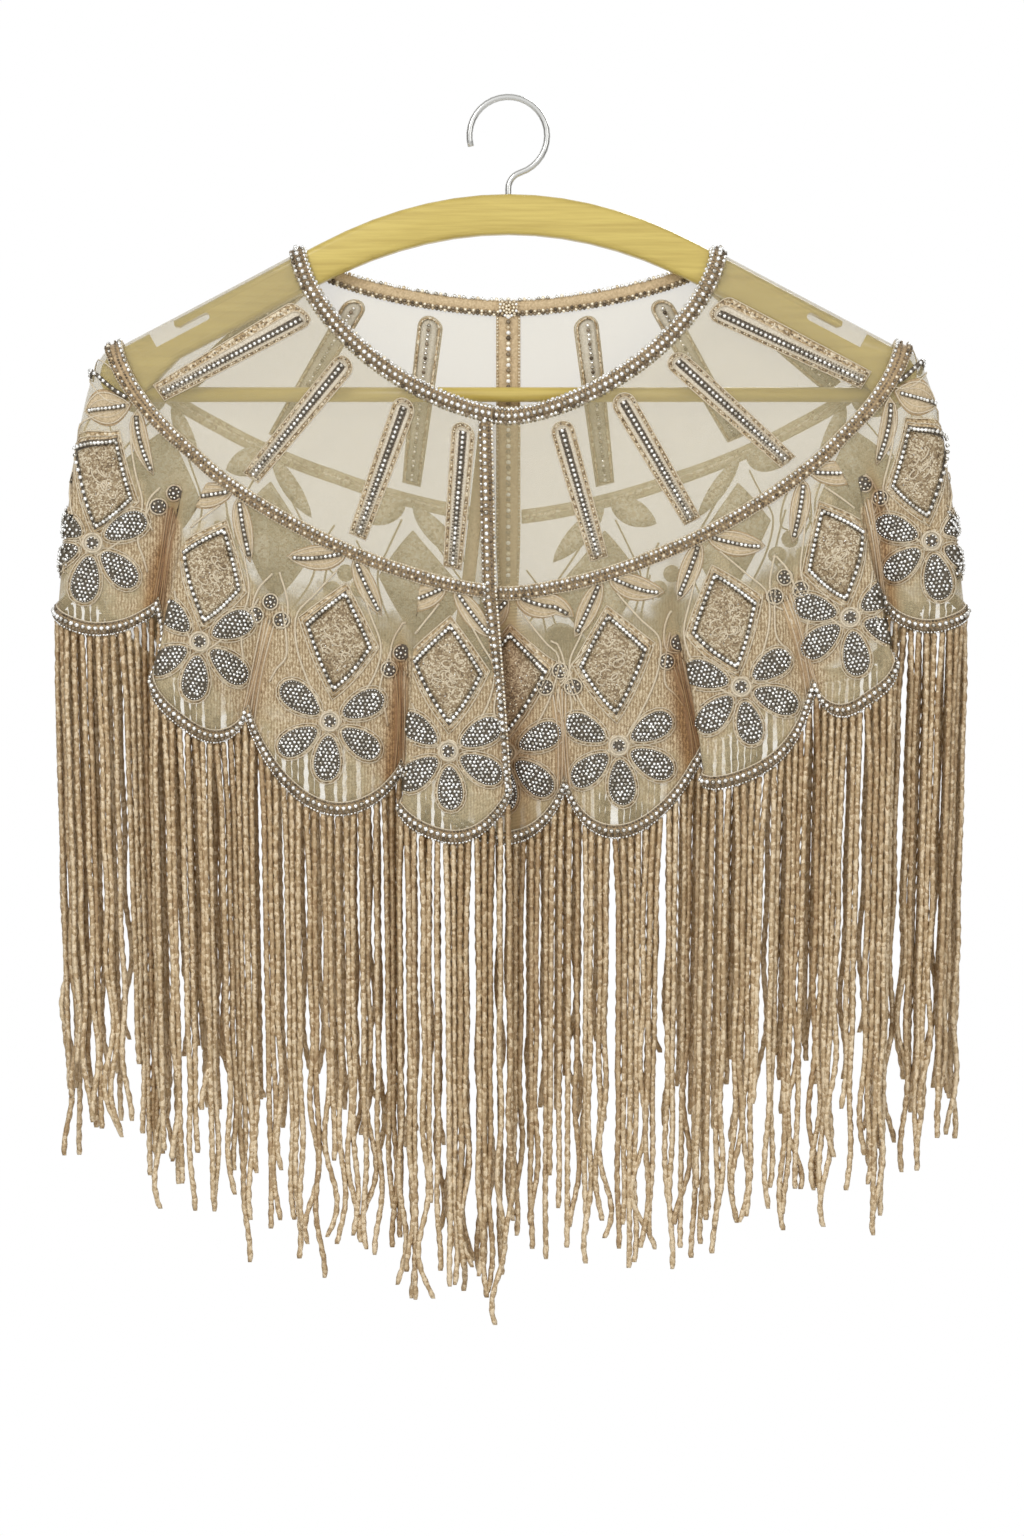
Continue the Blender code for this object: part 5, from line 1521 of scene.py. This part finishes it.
TIP_UNEVEN = 0.0100
TIP_SHORTER = 0.062          # at most, for the strands at a bunch's edges
SWAY, SWAY_AT_HEAD, SWAY_AT_TIP = 0.0010, 0.15, 2.6
WAVE_LENGTH = 0.011
DEPTH_UNEVEN = 0.0011
STRAND_TONE, TONE_UNEVEN = 0.45, 0.07
FRINGE_SHADE = 0.16
bunch_edges = [-FRINGE_HALF]
while bunch_edges[-1] < FRINGE_HALF:
    bunch_edges.append(bunch_edges[-1] + min(BUNCH_LOW + luck.exponential(BUNCH_MEAN), BUNCH_HIGH))
bunch_edges = np.array(bunch_edges)
bunch_middles = (bunch_edges[:-1] + bunch_edges[1:]) / 2


def fringe_finish():
    """Strings of tan glass: mixed beads, darker in their gaps, with a tone of each strand's own."""
    material, tree, shader = plain_material("fringe_glass", (0.50, 0.36, 0.20), 0.38, 0.15)
    own, mound = grained(tree, 560.0)
    tone = worked_out(tree, "MULTIPLY_ADD", own, 0.55, carried(tree, "tone"))
    stops = ((0.20, (0.24, 0.135, 0.052)), (0.50, (0.37, 0.245, 0.125)),
             (0.78, (0.50, 0.365, 0.205)), (0.96, (0.72, 0.580, 0.390)))
    link(tree, coloured_by(tree, tone, stops), shader.inputs["Base Color"])
    raised_by(tree, shader, mound, 0.0006, 0.8)
    return material


def bead_string(length):
    """Shares down a strand and the radius at each: four rings for two beads, with narrow ends."""
    beads = int(length / BEAD_LONG)
    share = np.repeat(np.arange(beads + 1) / beads, 2)[1:-1]
    share[::2] += BEAD_SHOULDER / beads
    share[1::2] -= BEAD_SHOULDER / beads
    radius = np.full(len(share), BELLY)
    radius[[0, -1]] = WAIST
    return share, radius * np.where(np.arange(len(share)) % 4 < 2, 1.0, BEAD_PULSE)


fringe_glass = fringe_finish()
for half in HALVES:
    at = np.linspace(0.0, half.back_edge, int(FRINGE_STEPS * half.back_edge))
    line = hem_row(half, at, HEM_BAND / 2 - HEAD_TUCK, 0.0)
    run = np.concatenate(((0.0,), np.cumsum(np.linalg.norm(np.diff(line[:, :2], axis=0), axis=1))))
    count = int(run[-1] / STRAND_PITCH)
    heads_at = np.interp((np.arange(count) + 0.5) * run[-1] / count, run, at)
    heads = hem_row(half, heads_at, HEM_BAND / 2 - HEAD_TUCK, 0.0)
    tips = smooth(half.hems, [row.reach for row in half.hems], heads_at)
    bunch = np.clip(np.searchsorted(bunch_edges, heads[:, 0]) - 1, 0, len(bunch_middles) - 1)
    off_middle = heads[:, 0] - bunch_middles[bunch]
    half_bunch = (bunch_edges[bunch + 1] - bunch_edges[bunch]) / 2
    shorter = TIP_SHORTER * np.abs(off_middle / half_bunch) ** 1.5 * luck.uniform(0.0, 1.0, count)
    tips = tips + luck.normal(0.0, TIP_UNEVEN, count) + shorter
    bunched = bunch_middles[bunch] + off_middle * (BUNCH_PULL - SLIT / half_bunch)
    sway = np.column_stack((luck.normal(0.0, SWAY, count), luck.uniform(0.0, 2 * math.pi, count)))
    deeper = luck.uniform(-DEPTH_UNEVEN, DEPTH_UNEVEN, count)
    tones = np.clip(luck.normal(STRAND_TONE, TONE_UNEVEN, count), 0.1, 0.8)
    # Painted shade: strands that hang below a fold or a valley are darker.
    tones = tones - FRINGE_SHADE * fold_shade(half, heads_at, np.full(count, 2.0))
    turn = np.arange(STRAND_SIDES) * 2 * math.pi / STRAND_SIDES
    for number in range(int(half.back_edge)):
        strands = Work()
        for k in np.nonzero(np.floor(heads_at) == number)[0]:
            length = heads[k, 2] - tips[k]
            share, radius = bead_string(length)
            drift = np.clip(share * length / BUNCH_FALL, 0.0, 1.0)
            x = heads[k, 0] + (bunched[k] - heads[k, 0]) * drift - off_middle[k] * BUNCH_TAPER * share
            wave = (sway[k, 0] * (SWAY_AT_HEAD + SWAY_AT_TIP * share**4)
                    * np.sin(share * length / WAVE_LENGTH + sway[k, 1]))
            x = x * (1.0 + (GATHER - 1.0) * share) + wave
            y = heads[k, 1] + deeper[k] * drift + wave * 0.5
            z = heads[k, 2] - share * length
            spin = turn + (k * 1.7 + np.arange(len(share)) * 0.35)[:, None]
            rings = np.stack((x[:, None] + radius[:, None] * np.cos(spin),
                              y[:, None] + radius[:, None] * np.sin(spin),
                              np.repeat(z[:, None], STRAND_SIDES, axis=1)), axis=-1)
            paler = tones[k] + TIP_PALER * share**2
            closed_tube(strands, rings, 0, np.concatenate((np.repeat(paler, STRAND_SIDES), paler[[0, -1]])))
        hung = strands.piece(f"fringe_{half.name}_{number + 1}_strands", (fringe_glass,), "fringe_beads")
        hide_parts(f"fringe_{half.name}_{number + 1}")


# ---- The cloth's cut, and the sizes ------------------------------------------------------------------------
# Each half is cut flat from net as a part of a ring, and its fringe goes with it.  The sizes take in
# 10 mm turnings all round.
Cut = namedtuple("Cut", "half wide deep area")
